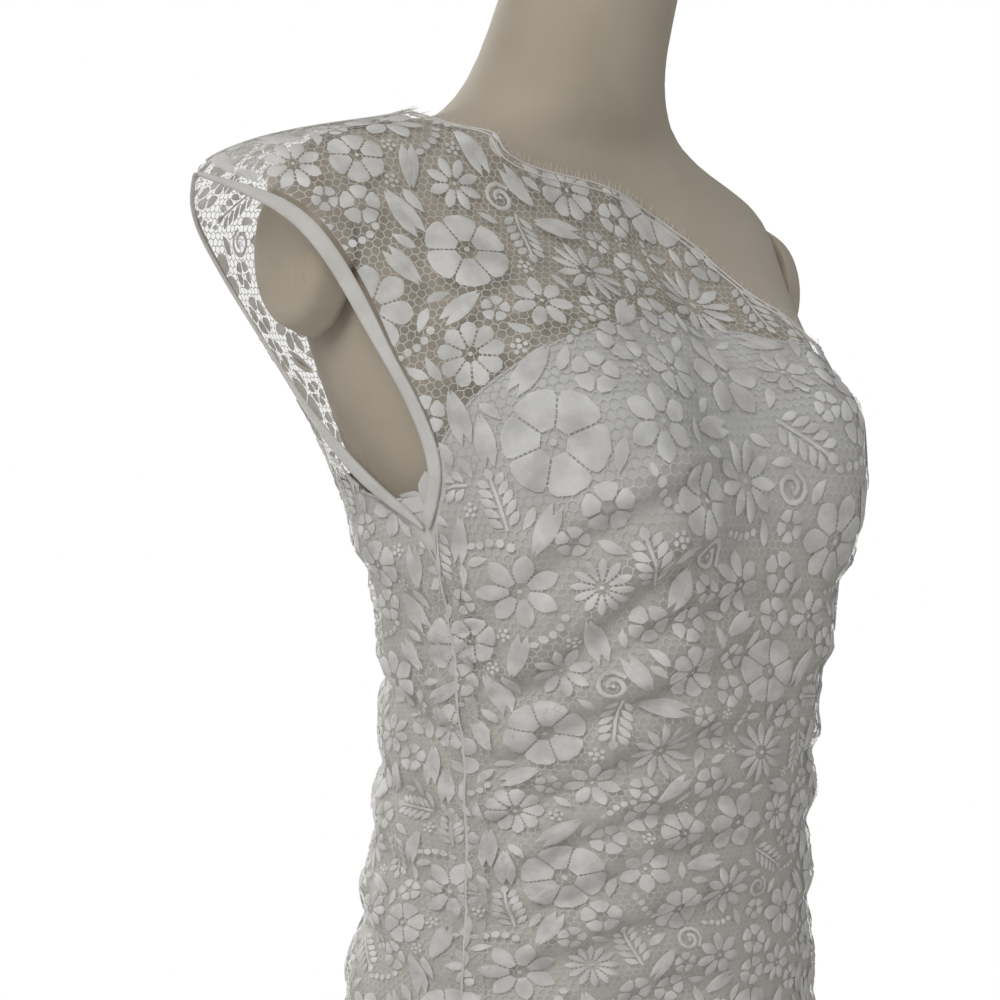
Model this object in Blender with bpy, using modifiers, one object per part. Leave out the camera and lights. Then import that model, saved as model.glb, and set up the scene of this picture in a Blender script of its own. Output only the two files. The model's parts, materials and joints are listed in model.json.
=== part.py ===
"""One-shouldered lace gown on a limbless dress form, built as its maker cuts it.

Metres, +Z up, front at -Y. The origin is on the floor, at the centre of the stand's base.
The cloth is worked out on rings round the body: an angle in degrees (180 at the wearer's right
side, 270 at the centre front, 0 or 360 at the left side, 90 at the centre back) and a height
below the side neck point. Tables below give the rings, the edges of the panels and the folds.
"""

import math

import bmesh
import bpy
import numpy as np
from mathutils import Matrix, Vector

# Heights above the floor and walls
NECK_POINT_Z = 1.430
LACE_WALL = 0.0014
LINING_WALL = 0.0012
SEAM_GAP = 0.0005
RIDGE_GAP = 0.0010
TRIM_GAP = 0.0015
BINDING_GAP = 0.0021
BINDING_END_GAP = 0.0024
BINDING_WIDTH = 0.008
BINDING_WALL = 0.0020
EDGE_WIDTH = 0.0045
EDGE_WALL = 0.0018

# Columns of a panel, from its right side seam to its left side seam
LACE_COLUMNS = 19
LINING_COLUMNS = 14
RIGHT_SEAM_TOP = -0.231
LEFT_SEAM = 350.0

# Rings of the lace: height, half width left and right, front, back, centre y, squareness, turn
LACE_RINGS = (
    (-1.400, 0.222, 0.222, 0.200, 0.228, 0.006, 2.0, 0),
    (-1.000, 0.198, 0.198, 0.160, 0.192, 0.006, 2.0, 0),
    (-0.700, 0.168, 0.168, 0.110, 0.148, 0.006, 2.1, 0),
    (-0.620, 0.160, 0.160, 0.096, 0.138, 0.006, 2.1, 0),
    (-0.540, 0.155, 0.155, 0.091, 0.130, 0.005, 2.1, 0),
    (-0.480, 0.148, 0.148, 0.090, 0.124, 0.004, 2.1, 0),
    (-0.420, 0.137, 0.137, 0.092, 0.118, 0.003, 2.1, 0),
    (-0.365, 0.128, 0.128, 0.097, 0.106, 0.004, 2.1, 0),
    (-0.310, 0.130, 0.130, 0.104, 0.084, 0.010, 2.1, 1),
    (-0.260, 0.140, 0.140, 0.107, 0.073, 0.016, 2.2, 3),
    (-0.224, 0.150, 0.150, 0.106, 0.074, 0.022, 2.2, 4),
    (-0.190, 0.154, 0.158, 0.102, 0.077, 0.030, 2.3, 5),
    (-0.150, 0.162, 0.174, 0.092, 0.090, 0.034, 2.3, 6),
    (-0.110, 0.172, 0.200, 0.075, 0.106, 0.037, 2.3, 6),
    (-0.075, 0.182, 0.228, 0.060, 0.102, 0.040, 2.2, 6),
    (-0.054, 0.184, 0.243, 0.054, 0.086, 0.041, 2.1, 6),
    (-0.038, 0.160, 0.222, 0.052, 0.072, 0.041, 2.0, 6),
    (-0.022, 0.125, 0.172, 0.052, 0.066, 0.041, 2.0, 5),
    (-0.010, 0.102, 0.118, 0.054, 0.064, 0.040, 2.0, 4),
    (0.002, 0.084, 0.086, 0.058, 0.064, 0.040, 2.0, 3),
)
LACE_BUST = {"height": -0.168, "apart": 0.172, "radius": 0.074, "out": 0.056, "up": 1.1, "down": 1.3}

# Rings of the form: the same columns, with one half width
FORM_RINGS = (
    (-0.700, 0.118, 0.118, 0.078, 0.092, 0.008, 2.0, 0),
    (-0.640, 0.140, 0.140, 0.084, 0.112, 0.008, 2.1, 0),
    (-0.560, 0.147, 0.147, 0.084, 0.116, 0.006, 2.1, 0),
    (-0.480, 0.139, 0.139, 0.080, 0.108, 0.004, 2.1, 0),
    (-0.420, 0.128, 0.128, 0.082, 0.098, 0.002, 2.1, 0),
    (-0.365, 0.115, 0.115, 0.084, 0.084, 0.003, 2.1, 0),
    (-0.310, 0.118, 0.118, 0.088, 0.068, 0.010, 2.1, 1),
    (-0.250, 0.131, 0.131, 0.092, 0.062, 0.020, 2.2, 3),
    (-0.190, 0.146, 0.146, 0.095, 0.0675, 0.030, 2.3, 5),
    (-0.130, 0.161, 0.161, 0.080, 0.082, 0.036, 2.4, 6),
    (-0.085, 0.176, 0.176, 0.061, 0.087, 0.038, 2.4, 6),
    (-0.052, 0.179, 0.179, 0.051, 0.073, 0.040, 2.3, 6),
    (-0.036, 0.160, 0.160, 0.049, 0.064, 0.040, 2.2, 6),
    (-0.018, 0.113, 0.113, 0.049, 0.060, 0.040, 2.1, 5),
    (0.000, 0.076, 0.076, 0.054, 0.056, 0.037, 2.0, 3),
    (0.020, 0.058, 0.058, 0.054, 0.054, 0.031, 2.0, 0),
    (0.050, 0.051, 0.051, 0.053, 0.051, 0.021, 2.0, 0),
    (0.115, 0.046, 0.046, 0.050, 0.048, -0.001, 2.0, 0),
)
FORM_BUST = {"height": -0.168, "apart": 0.172, "radius": 0.061, "out": 0.053, "up": 1.15, "down": 1.0}
FORM_SIDES = 28
FORM_STEP = 0.045
FORM_SPREAD = 0.020
NECK_TOP_ROUND = 0.004
ARM_CUT = 0.168

# Right side seam: height, angle
RIGHT_SEAM = ((-1.400, 185), (-0.700, 192), (-0.560, 195), (-0.458, 196), (-0.404, 191),
              (-0.360, 188), (-0.315, 189), (-0.231, 191))

# Armhole edges, from the underarm to the cap's tip: share of the length, angle, height
ARMHOLE_FRONT = ((0.00, 190, -0.223), (0.08, 194.5, -0.208), (0.17, 196, -0.193),
                 (0.33, 198, -0.163), (0.48, 199.5, -0.138), (0.60, 202.5, -0.119),
                 (0.72, 205.5, -0.100), (0.80, 207, -0.086), (0.87, 206.5, -0.073),
                 (0.93, 202, -0.062), (1.00, 180, -0.053))
ARMHOLE_BACK = ((0.00, 190, -0.223), (0.08, 184, -0.207), (0.16, 179, -0.191),
                (0.26, 174, -0.175), (0.36, 165, -0.161), (0.48, 159, -0.142),
                (0.62, 156, -0.116), (0.74, 155, -0.094), (0.84, 156, -0.077),
                (0.92, 162, -0.063), (1.00, 180, -0.053))
# Ridge of the shoulder, from the cap's tip to the neck point: share, angle, height
SHOULDER_SEAM = ((0.0, 180, -0.053), (0.25, 180, -0.040), (0.5, 181, -0.027), (0.75, 182, -0.015),
                 (1.0, 184, -0.005))
# Neck edges: angle, height
NECK_FRONT = ((184, -0.005), (229, -0.018), (243, -0.026), (253, -0.034), (262, -0.038),
              (271, -0.042), (279, -0.050), (286, -0.067), (291, -0.088), (297, -0.107),
              (308, -0.121), (330, -0.134), (350, -0.150))
NECK_BACK = ((-10, -0.150), (30, -0.128), (60, -0.102), (85, -0.074), (105, -0.050),
             (130, -0.027), (155, -0.014), (184, -0.005))
# Valleys between the neck edge's scallops, as angles
VALLEYS_FRONT = (184, 252.5, 279, 287, 293, 303, 318, 334, 350)
VALLEYS_BACK = (-10, 12, 36, 58, 78, 98, 120, 146, 184)
SCALLOP_RISE = 0.09

# Lining's upper edge: angle, height
LINING_TOP_FRONT = ((190, -0.212), (199, -0.186), (207, -0.170), (217, -0.155), (228, -0.142),
                    (238, -0.130), (254, -0.120), (271, -0.114), (282, -0.115), (291, -0.121),
                    (310, -0.131), (330, -0.144), (350, -0.160))
LINING_TOP_BACK = ((-10, -0.160), (30, -0.172), (90, -0.188), (150, -0.202), (190, -0.212))
LINING_ROWS = (-1.372, -1.050, -0.800, -0.680, -0.580, -0.500, -0.430, -0.375, -0.330, -0.290,
               -0.255, -0.230)
LINING_TOP_SHARES = (0.25, 0.45, 0.65, 0.83, 1.00)
# How far the lining's middle lies inside the lace's: height, distance
LINING_INSIDE = ((-1.400, 0.0060), (-0.620, 0.0045), (-0.360, 0.0042), (-0.280, 0.0043),
                 (-0.230, 0.0044), (-0.160, 0.0046), (-0.100, 0.0042))

# How far a row of the lace climbs from the right side seam to its crest: height at the seam, rise
ROW_RISE = ((-1.400, 0.000), (-0.700, 0.010), (-0.580, 0.030), (-0.500, 0.045), (-0.430, 0.052),
            (-0.387, 0.060), (-0.335, 0.090), (-0.290, 0.086), (-0.231, 0.066))
CREST_SHARE = 0.46
LEFT_SEAM_SHARE = 0.40

# Folds gathered into the side seams. Each row is a groove: its height at the seam, the depth of
# the fold above it, and how far it reaches over the front and over the back as a share of the panel
FOLDS = (
    (-0.258, 0.0022, 0.55, 0.50),
    (-0.286, 0.0040, 0.60, 0.55),
    (-0.316, 0.0052, 0.90, 0.60),
    (-0.341, 0.0062, 0.95, 0.80),
    (-0.371, 0.0060, 0.80, 0.85),
    (-0.404, 0.0064, 0.90, 0.75),
    (-0.440, 0.0062, 0.85, 0.85),
    (-0.478, 0.0058, 0.95, 0.70),
    (-0.520, 0.0050, 0.80, 0.80),
    (-0.566, 0.0040, 0.75, 0.65),
    (-0.622, 0.0000, 0.70, 0.60),
)
ROWS_PER_FOLD = 3

# Soft upright folds of the skirt: height, depth
FLARES = ((-1.400, 0.016), (-1.000, 0.010), (-0.740, 0.003), (-0.622, 0.000))
FLARES_FRONT = 4
FLARES_BACK = 5
SKIRT_ROWS = (-1.400, -1.240, -1.080, -0.930, -0.800, -0.700)
ARMHOLE_ROWS = 9
ARMHOLE_SHARE = 0.55
SHOULDER_SHARES = (0.55, 0.62, 0.69, 0.76, 0.84, 1.00)
BINDING_ALONG_RIDGE = 0.055

# Eyelash threads that stand on the neck edge
LASHES_FRONT = 60
LASHES_BACK = 52
LASH_LENGTH = 0.007
LASH_WIDTH = 0.0009

# Stand
POLE_RADIUS = 0.0125
BASE_RADIUS = 0.175
BASE_HEIGHT = 0.016
BASE_BEVEL = 0.004
SEAT_GAP = 0.0003

# Arm caps
ARM_CAP_CENTRE = (0.002, 0.040, -0.086)
ARM_CAP_HALF = (0.034, 0.044)
ARM_CAP_THICK = 0.020
ARM_CAP_SIDES = 24
ARM_CAP_GAP = 0.0008
ARM_CAP_TURN = 6.0

COLLECTION = "lace_gown_on_dress_form"
LACE_COLOUR = (0.50, 0.50, 0.47)
LINING_COLOUR = (0.42, 0.42, 0.41)
TRIM_COLOUR = (0.55, 0.54, 0.51)
FORM_COLOUR = (0.28, 0.24, 0.20)
METAL_COLOUR = (0.55, 0.55, 0.56)
BASE_COLOUR = (0.72, 0.71, 0.69)


def curve(rows, x, column=1):
    """Smooth value of a table's column at x, with no overshoot between its rows."""
    rows = sorted(rows)
    xs = np.array([row[0] for row in rows], float)
    ys = np.array([row[column] for row in rows], float)
    slope = np.diff(ys) / np.diff(xs)
    knot = np.empty_like(ys)
    knot[0], knot[-1] = slope[0], slope[-1]
    product = slope[:-1] * slope[1:]
    total = slope[:-1] + slope[1:]
    knot[1:-1] = np.where(product > 0, 2 * product / np.where(product > 0, total, 1), 0)
    x = np.clip(np.asarray(x, float), xs[0], xs[-1])
    i = np.clip(np.searchsorted(xs, x) - 1, 0, len(xs) - 2)
    h = xs[i + 1] - xs[i]
    t = (x - xs[i]) / h
    return (ys[i] * (1 + 2 * t) * (1 - t) ** 2 + h * knot[i] * t * (1 - t) ** 2
            + ys[i + 1] * t * t * (3 - 2 * t) + h * knot[i + 1] * t * t * (t - 1))


def smooth(t):
    """Ease from 0 to 1."""
    t = np.clip(t, 0, 1)
    return t * t * (3 - 2 * t)


def ring_points(rings, bust, angle, height, cut=None):
    """Points on rings of superellipses, with the bust added, turned to the shoulders' line."""
    angle, height = np.broadcast_arrays(np.asarray(angle, float), np.asarray(height, float))
    left, right, front, back, centre, square, turn = (
        curve(rings, height, column) for column in range(1, 8)
    )
    c, s = np.cos(np.radians(angle)), np.sin(np.radians(angle))
    x = np.where(c > 0, left, right) * np.sign(c) * np.abs(c) ** (2 / square)
    y = np.where(s < 0, front, back) * np.sign(s) * np.abs(s) ** (2 / square)
    if cut:
        x = np.clip(x, -cut, cut)
    above = height > bust["height"]
    tall = bust["radius"] * np.where(above, bust["up"], bust["down"])
    for side in (-0.5, 0.5):
        far = ((x - side * bust["apart"]) / bust["radius"]) ** 2
        far = far + ((height - bust["height"]) / tall) ** 2
        y = y - bust["out"] * np.exp(-far) * np.clip(-3 * s, 0, 1)
    turn = np.radians(turn)
    turned_x = x * np.cos(turn) + y * np.sin(turn)
    turned_y = centre + y * np.cos(turn) - x * np.sin(turn)
    return np.stack([turned_x, turned_y, NECK_POINT_Z + height], -1)


def unit(vectors):
    return vectors / np.maximum(np.linalg.norm(vectors, axis=-1, keepdims=True), 1e-9)


def lace_points(angle, height):
    return ring_points(LACE_RINGS, LACE_BUST, angle, height)


def lace_normals(angle, height):
    """Outward unit normals of the lace's rings, from points a little to each side."""
    across = lace_points(angle + 0.5, height) - lace_points(angle - 0.5, height)
    up = lace_points(angle, height + 0.001) - lace_points(angle, height - 0.001)
    return unit(np.cross(across, up))


class Panel:
    """The lace front or the lace back, as a grid of rows and columns on the rings."""

    def __init__(self, is_front, columns):
        self.left = LEFT_SEAM if is_front else LEFT_SEAM - 360
        self.armhole = ARMHOLE_FRONT if is_front else ARMHOLE_BACK
        self.neck = NECK_FRONT if is_front else NECK_BACK
        self.valleys = VALLEYS_FRONT if is_front else VALLEYS_BACK
        self.lining_top = LINING_TOP_FRONT if is_front else LINING_TOP_BACK
        self.reach = 2 if is_front else 3
        self.turn = 1 if is_front else -1
        self.flares = FLARES_FRONT if is_front else FLARES_BACK
        self.share = np.linspace(0, 1, columns + 1)

    def angles(self, right):
        """Angles along a row that starts at the right angle."""
        return right + (self.left - right) * self.share

    def scallops(self, angle):
        """Height that the neck's scallops add, in shares of a scallop's width."""
        valleys = np.array(sorted(self.valleys), float)
        i = np.clip(np.searchsorted(valleys, angle) - 1, 0, len(valleys) - 2)
        width = valleys[i + 1] - valleys[i]
        t = np.clip((angle - valleys[i]) / width, 0, 1)
        metres = np.radians(width) * 0.10
        return SCALLOP_RISE * metres * np.sin(math.pi * t)

    def row_rise(self, height):
        """Heights along a lower row, above its height at the right side seam."""
        t = np.minimum(self.share / CREST_SHARE, 1)
        climb = 0.5 * t * (2 - t) + 0.5 * smooth(t)
        fall = smooth((self.share - CREST_SHARE - 0.14) / (1 - CREST_SHARE - 0.14))
        return curve(ROW_RISE, height) * (climb - (1 - LEFT_SEAM_SHARE) * fall)

    def folds(self, height):
        """How far the gathered folds stand out along a lower row."""
        grooves = np.array([row[0] for row in FOLDS])
        if height >= grooves[0] or height <= grooves[-1]:
            return np.zeros_like(self.share)
        i = int(np.searchsorted(-grooves, -height, side="right")) - 1
        t = (height - grooves[i]) / (grooves[i + 1] - grooves[i])
        depth = FOLDS[i][1] * math.sin(math.pi * t) ** 0.8
        reach = FOLDS[i][self.reach]
        u = self.share
        right = smooth(u / 0.10) * (1 - smooth((u - 0.25) / (reach - 0.25)))
        left = smooth((1 - u) / 0.10) * smooth((u - 0.62) / 0.2)
        return depth * (0.30 + 0.70 * np.maximum(right, 0.75 * left))

    def flare(self, height):
        """How far the skirt's upright folds stand out."""
        return curve(FLARES, height) * (1 - np.cos(2 * math.pi * self.flares * self.share)) / 2

    def lower_rows(self):
        """Angles, heights and outward offsets of the rows from the hem to the underarm."""
        heights = list(SKIRT_ROWS)
        for upper, lower in zip(FOLDS[::-1][1:], FOLDS[::-1]):
            step = (upper[0] - lower[0]) / ROWS_PER_FOLD
            heights += [lower[0] + step * k for k in range(ROWS_PER_FOLD)]
        heights += [FOLDS[0][0], RIGHT_SEAM_TOP]
        rows = []
        for height in heights:
            angle = self.angles(curve(RIGHT_SEAM, height))
            rows.append((angle, height + self.row_rise(height), self.folds(height) + self.flare(height)))
        return rows

    def armhole_line(self, along, width):
        """Angles and heights of a line a true width inside the armhole's edge."""
        angle, height = (curve(self.armhole, along, column) for column in (1, 2))
        ahead, behind = (
            lace_points(curve(self.armhole, t), curve(self.armhole, t, 2))
            for t in (along + 0.02, along - 0.02)
        )
        across = lace_points(angle + 0.5, height) - lace_points(angle - 0.5, height)
        up = (lace_points(angle, height + 0.001) - lace_points(angle, height - 0.001)) / 0.002
        inward = self.turn * np.cross(unit(ahead - behind), lace_normals(angle, height))
        steps = np.linalg.pinv(np.stack([across, up], -1)) @ (inward * width)[..., None]
        return angle + steps[..., 0, 0], height + steps[..., 1, 0]

    def yoke_rows(self):
        """Angles, heights and offsets of the rows from the underarm up to the neck edge."""
        under_angle, under, _ = self.lower_rows()[-1]
        neck_angle = self.angles(SHOULDER_SEAM[-1][1])
        neck = curve(self.neck, neck_angle) + self.scallops(neck_angle)
        starts = []
        for t in np.arange(1, ARMHOLE_ROWS) / ARMHOLE_ROWS:
            starts.append((*self.armhole_line(t, BINDING_WIDTH + BINDING_GAP), ARMHOLE_SHARE * t))
        for k, along in enumerate(SHOULDER_SHARES):
            t = max(k / (len(SHOULDER_SHARES) - 1), BINDING_ALONG_RIDGE)
            starts.append((curve(SHOULDER_SEAM, t), curve(SHOULDER_SEAM, t, 2), along))
        rows = []
        for right, height, along in starts:
            level = (1 - along) * under + along * neck
            lift = (height - level[0]) * (1 - smooth(self.share / 0.6))
            rows.append((self.angles(right), level + lift, np.zeros_like(level)))
        return rows

    def points(self):
        """Grid of the lace's middle surface, out to its true edges."""
        rows = self.lower_rows() + self.yoke_rows()
        angle, height, out = (np.array([row[k] for row in rows]) for k in range(3))
        return lace_points(angle, height) + out[..., None] * lace_normals(angle, height)

    def neck_normals(self):
        """Outward normals along the neck edge."""
        angle, height, _ = self.yoke_rows()[-1]
        return lace_normals(angle, height)

    def lining_points(self):
        """Grid of the lining's middle surface."""
        top_angle = self.angles(191)
        top = curve(self.lining_top, top_angle)
        rows = []
        for height in LINING_ROWS:
            bend = smooth((height + 0.38) / 0.17)
            rise = bend * (0.5 * (top + 0.212)) + self.row_rise(height) * 0.2 * (1 - bend)
            rows.append((self.angles(curve(RIGHT_SEAM, height)), height + rise))
        low = rows[-1][1]
        rows += [(top_angle, low + (top - low) * t) for t in LINING_TOP_SHARES]
        angle, height = (np.array([row[k] for row in rows]) for k in range(2))
        out = self.flare(height) - curve(LINING_INSIDE, height)
        grid = lace_points(angle, height) + out[..., None] * lace_normals(angle, height)
        for side, inner in ((0, 1), (-1, -2)):
            seam_way = np.gradient(grid[:, side], axis=0)
            grid[:, side] = step_in(grid[:, side], grid[:, inner], seam_way, TRIM_GAP / 2)
        return grid


def step_in(edge, inner, along, width):
    """Points moved in from an edge towards the inner points, a true width away from the edge."""
    towards = unit(inner - edge)
    slant = np.linalg.norm(np.cross(towards, unit(along)), axis=-1, keepdims=True)
    return edge + towards * width / np.maximum(slant, 0.4)


def end_in(strip, gap):
    """A strip of points, lower and upper, whose two ends are drawn in."""
    drawn = strip.copy()
    for end, inner in ((0, 1), (-1, -2)):
        edge = strip[:, end]
        across = np.broadcast_to(strip[1, end] - strip[0, end], edge.shape)
        drawn[:, end] = step_in(edge, strip[:, inner], across, gap / 2)
    return drawn


class Cut:
    """A panel's lace, its armhole binding and its neck edge, parted by the seam gaps."""

    def __init__(self, panel):
        grid = panel.points()
        armhole = len(panel.lower_rows())
        shoulder = armhole + ARMHOLE_ROWS - 1
        gap = np.full((len(grid), 1), SEAM_GAP / 2)
        gap[armhole:shoulder] = 0
        gap[shoulder:] = RIDGE_GAP / 2
        self.lace = grid.copy()
        edge_way = np.gradient(grid[:, 0], axis=0)
        self.lace[:, 0] = step_in(grid[:, 0], grid[:, 1], edge_way, gap)
        seam_way = np.gradient(grid[:, -1], axis=0)
        self.lace[:, -1] = step_in(grid[:, -1], grid[:, -2], seam_way, SEAM_GAP / 2)
        along = np.gradient(grid[-1], axis=0)
        neck = np.stack([step_in(grid[-1], grid[-2], along, EDGE_WIDTH), grid[-1]])
        self.lace[-1] = step_in(self.lace[-1], self.lace[-2], along, EDGE_WIDTH + TRIM_GAP)
        self.neck = end_in(neck, RIDGE_GAP)
        self.neck_normals = panel.neck_normals()
        self.binding = self.bind(panel, grid[armhole - 1, 0], grid[shoulder, 0])

    def bind(self, panel, low, tip):
        """Middle of the binding: the armhole's edge and a line one width inside it."""
        along = np.arange(ARMHOLE_ROWS + 1) / ARMHOLE_ROWS
        edge = lace_points(*panel.armhole_line(along, 0))
        inner = lace_points(*panel.armhole_line(along, BINDING_WIDTH))
        inner[0] = low + unit(edge[0] - low) * TRIM_GAP
        inner[-1] = tip + unit(edge[-1] - tip) * TRIM_GAP
        return end_in(np.stack([inner, edge]), BINDING_END_GAP)


def material(name, colour, roughness, metallic=0.0):
    """Principled material of one colour."""
    made = bpy.data.materials.new(name)
    made.use_nodes = True
    shader = made.node_tree.nodes["Principled BSDF"]
    shader.inputs["Base Color"].default_value = (*colour, 1)
    shader.inputs["Roughness"].default_value = roughness
    shader.inputs["Metallic"].default_value = metallic
    made.diffuse_color = (*colour, 1)
    return made


def add(name, shape, finish, collection):
    """Object from a bmesh, shaded smooth."""
    mesh = bpy.data.meshes.new(name)
    shape.to_mesh(mesh)
    shape.free()
    mesh.shade_smooth()
    mesh.set_sharp_from_angle(angle=math.radians(40))
    made = bpy.data.objects.new(name, mesh)
    mesh.materials.append(finish)
    collection.objects.link(made)
    return made


def sheet(points):
    """Grid with its vertices on the points."""
    rows, columns = points.shape[:2]
    shape = bmesh.new()
    bmesh.ops.create_grid(shape, x_segments=columns - 1, y_segments=rows - 1, size=1)
    for vertex, place in zip(shape.verts, points.reshape(-1, 3)):
        vertex.co = place
    return shape


def tube(sections):
    """Closed body through sections of as many points each: a grid joined up, with its ends filled."""
    shape = sheet(np.concatenate([sections, sections[:, :1]], axis=1))
    bmesh.ops.remove_doubles(shape, verts=shape.verts, dist=1e-6)
    rims = [edge for edge in shape.edges if edge.is_boundary]
    bmesh.ops.holes_fill(shape, edges=rims, sides=0)
    bmesh.ops.recalc_face_normals(shape, faces=shape.faces)
    return shape


def wall(name, points, thickness, finish, collection):
    """A cloth panel: a grid on the points, made a wall by Solidify on both sides."""
    made = add(name, sheet(points), finish, collection)
    solidify = made.modifiers.new("wall", "SOLIDIFY")
    solidify.thickness = thickness
    solidify.offset = 0
    return made


def between(points, places):
    """Points of a polyline at fractional indexes."""
    low = np.clip(np.floor(places).astype(int), 0, len(points) - 2)
    t = (places - low)[:, None]
    return points[low] * (1 - t) + points[low + 1] * t


def fringed_edge(name, strip, outward, lashes, finish, collection):
    """Corded strip on the neck edge, with eyelash threads drawn out of its upper rim."""
    steps = np.linalg.norm(np.diff(strip[1], axis=0), axis=1)
    lengths = np.concatenate([[0], np.cumsum(steps)])
    roots = (np.arange(lashes) + 0.5) * lengths[-1] / lashes
    stops = np.concatenate([[0], roots, roots + LASH_WIDTH, lengths[-1:]])
    places = np.interp(np.sort(stops), lengths, np.arange(len(lengths)))
    low, high, out = (between(line, places) for line in (strip[0], strip[1], outward))
    out = unit(out) * EDGE_WALL / 2
    shape = tube(np.stack([low - out, low + out, high + out, high - out], axis=1))
    rise = unit(high - low)
    along = unit(np.diff(high, axis=0))
    for k in range(lashes):
        at = 2 * k + 1
        up = Vector(rise[at])
        middle = Vector((high[at] + high[at + 1]) / 2)
        rims = [face for face in shape.faces if face.normal.dot(up) > 0.5]
        face = min(rims, key=lambda rim: (rim.calc_center_median() - middle).length)
        tip = bmesh.ops.extrude_discrete_faces(shape, faces=[face])["faces"][0]
        length = LASH_LENGTH * (0.85 + 0.15 * math.sin(2.4 * k))
        lean = (up + 0.35 * math.sin(1.7 * k) * Vector(along[at])).normalized()
        place = tip.calc_center_median() + lean * length
        bmesh.ops.pointmerge(shape, verts=tip.verts[:], merge_co=place)
    bmesh.ops.recalc_face_normals(shape, faces=shape.faces)
    return add(name, shape, finish, collection)


def form_heights():
    """Heights of the form's rings: the table's own, with more where they lie far apart."""
    heights = [FORM_RINGS[0][0]]
    for low, high in zip(FORM_RINGS, FORM_RINGS[1:]):
        steps = max(abs(high[0] - low[0]) / FORM_STEP, abs(high[1] - low[1]) / FORM_SPREAD)
        heights += list(np.linspace(low[0], high[0], math.ceil(steps) + 1)[1:])
    return np.array(heights)


def form_torso(finish, collection):
    """Limbless torso with its neck, closed at the foot and at the neck's top."""
    angles = np.arange(FORM_SIDES) * 360 / FORM_SIDES
    heights = form_heights()
    rings = ring_points(FORM_RINGS, FORM_BUST, angles[None, :], heights[:, None], ARM_CUT)
    middle = rings[-1].mean(axis=0)
    top = middle + (rings[-1] - middle) * 0.93
    rings[-1] -= (0, 0, NECK_TOP_ROUND)
    return add("form_torso", tube(np.concatenate([rings, top[None]])), finish, collection)


def arm_cap(name, side, finish, collection):
    """Domed plate that closes the form's armhole, a hair off the flat of the torso."""
    shape = bmesh.new()
    bmesh.ops.create_cone(shape, cap_ends=True, segments=ARM_CAP_SIDES, radius1=1, radius2=0.86,
                          depth=ARM_CAP_THICK)
    rim = [edge for edge in shape.edges if all(vertex.co.z > 0 for vertex in edge.verts)]
    bmesh.ops.scale(shape, vec=(*ARM_CAP_HALF, 1), verts=shape.verts)
    bmesh.ops.bevel(shape, geom=rim, offset=0.007, segments=3, profile=0.5, affect="EDGES",
                    material=-1)
    offset, centre_y, height = ARM_CAP_CENTRE
    outwards = Matrix(((0, 0, side, 0), (1, 0, 0, 0), (0, 1, 0, 0), (0, 0, 0, 1)))
    place = Matrix.Translation((0, centre_y, NECK_POINT_Z + height))
    place = place @ Matrix.Rotation(math.radians(-ARM_CAP_TURN), 4, "Z")
    off = ARM_CUT + ARM_CAP_GAP + ARM_CAP_THICK / 2
    place = place @ Matrix.Translation((side * off, offset, 0)) @ outwards
    bmesh.ops.transform(shape, matrix=place, verts=shape.verts)
    bmesh.ops.recalc_face_normals(shape, faces=shape.faces)
    return add(name, shape, finish, collection)


def stand(pole_finish, base_finish, collection):
    """Round base, turned, and the pole that carries the form."""
    shape = bmesh.new()
    outline = ((0, BASE_HEIGHT), (BASE_RADIUS - BASE_BEVEL, BASE_HEIGHT),
               (BASE_RADIUS, BASE_HEIGHT - BASE_BEVEL), (BASE_RADIUS, 0), (0, 0))
    dots = [shape.verts.new((x, 0, z)) for x, z in outline]
    for first, second in zip(dots, dots[1:]):
        shape.edges.new((first, second))
    base = add("stand_base", shape, base_finish, collection)
    screw = base.modifiers.new("turn", "SCREW")
    screw.steps = screw.render_steps = 40
    screw.use_merge_vertices = True
    screw.merge_threshold = 0.0001
    foot = NECK_POINT_Z + FORM_RINGS[0][0]
    bottom, top = BASE_HEIGHT + SEAT_GAP, foot - SEAT_GAP
    shape = bmesh.new()
    bmesh.ops.create_cone(shape, cap_ends=True, segments=20, radius1=POLE_RADIUS,
                          radius2=POLE_RADIUS, depth=top - bottom,
                          matrix=Matrix.Translation((0, 0, (top + bottom) / 2)))
    add("stand_pole", shape, pole_finish, collection)


def main():
    for thing in list(bpy.data.objects):
        bpy.data.objects.remove(thing)
    collection = bpy.data.collections.new(COLLECTION)
    bpy.context.scene.collection.children.link(collection)
    lace = material("lace", LACE_COLOUR, 0.85)
    lining = material("lining", LINING_COLOUR, 0.6)
    trim = material("lace_edge", TRIM_COLOUR, 0.8)
    form = material("form_cover", FORM_COLOUR, 0.9)
    pole = material("pole_metal", METAL_COLOUR, 0.35, 1.0)
    base = material("base_enamel", BASE_COLOUR, 0.45)
    for side, lashes in (("front", LASHES_FRONT), ("back", LASHES_BACK)):
        panel = Panel(side == "front", LACE_COLUMNS)
        inside = Panel(side == "front", LINING_COLUMNS)
        cut = Cut(panel)
        wall(f"lace_{side}", cut.lace, LACE_WALL, lace, collection)
        wall(f"lining_{side}", inside.lining_points(), LINING_WALL, lining, collection)
        wall(f"armhole_binding_{side}", cut.binding, BINDING_WALL, trim, collection)
        fringed_edge(f"neck_edge_{side}", cut.neck, cut.neck_normals, lashes, trim, collection)
    form_torso(form, collection)
    arm_cap("arm_cap_right", -1, form, collection)
    arm_cap("arm_cap_left", 1, form, collection)
    stand(pole, base, collection)


main()
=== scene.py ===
# %% [markdown]
# # A lace gown on a dress form
# This lesson dresses a plain model of a gown with its real surfaces. The plain model, called the frame
# here, has thin walls of the right shape: two lace panels, two lining panels, the edges, the form and
# its stand. The frame stays where it is, and every piece below is worked out from it.
# Lengths are in metres, +Z is up, and the gown's front faces -Y.

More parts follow.
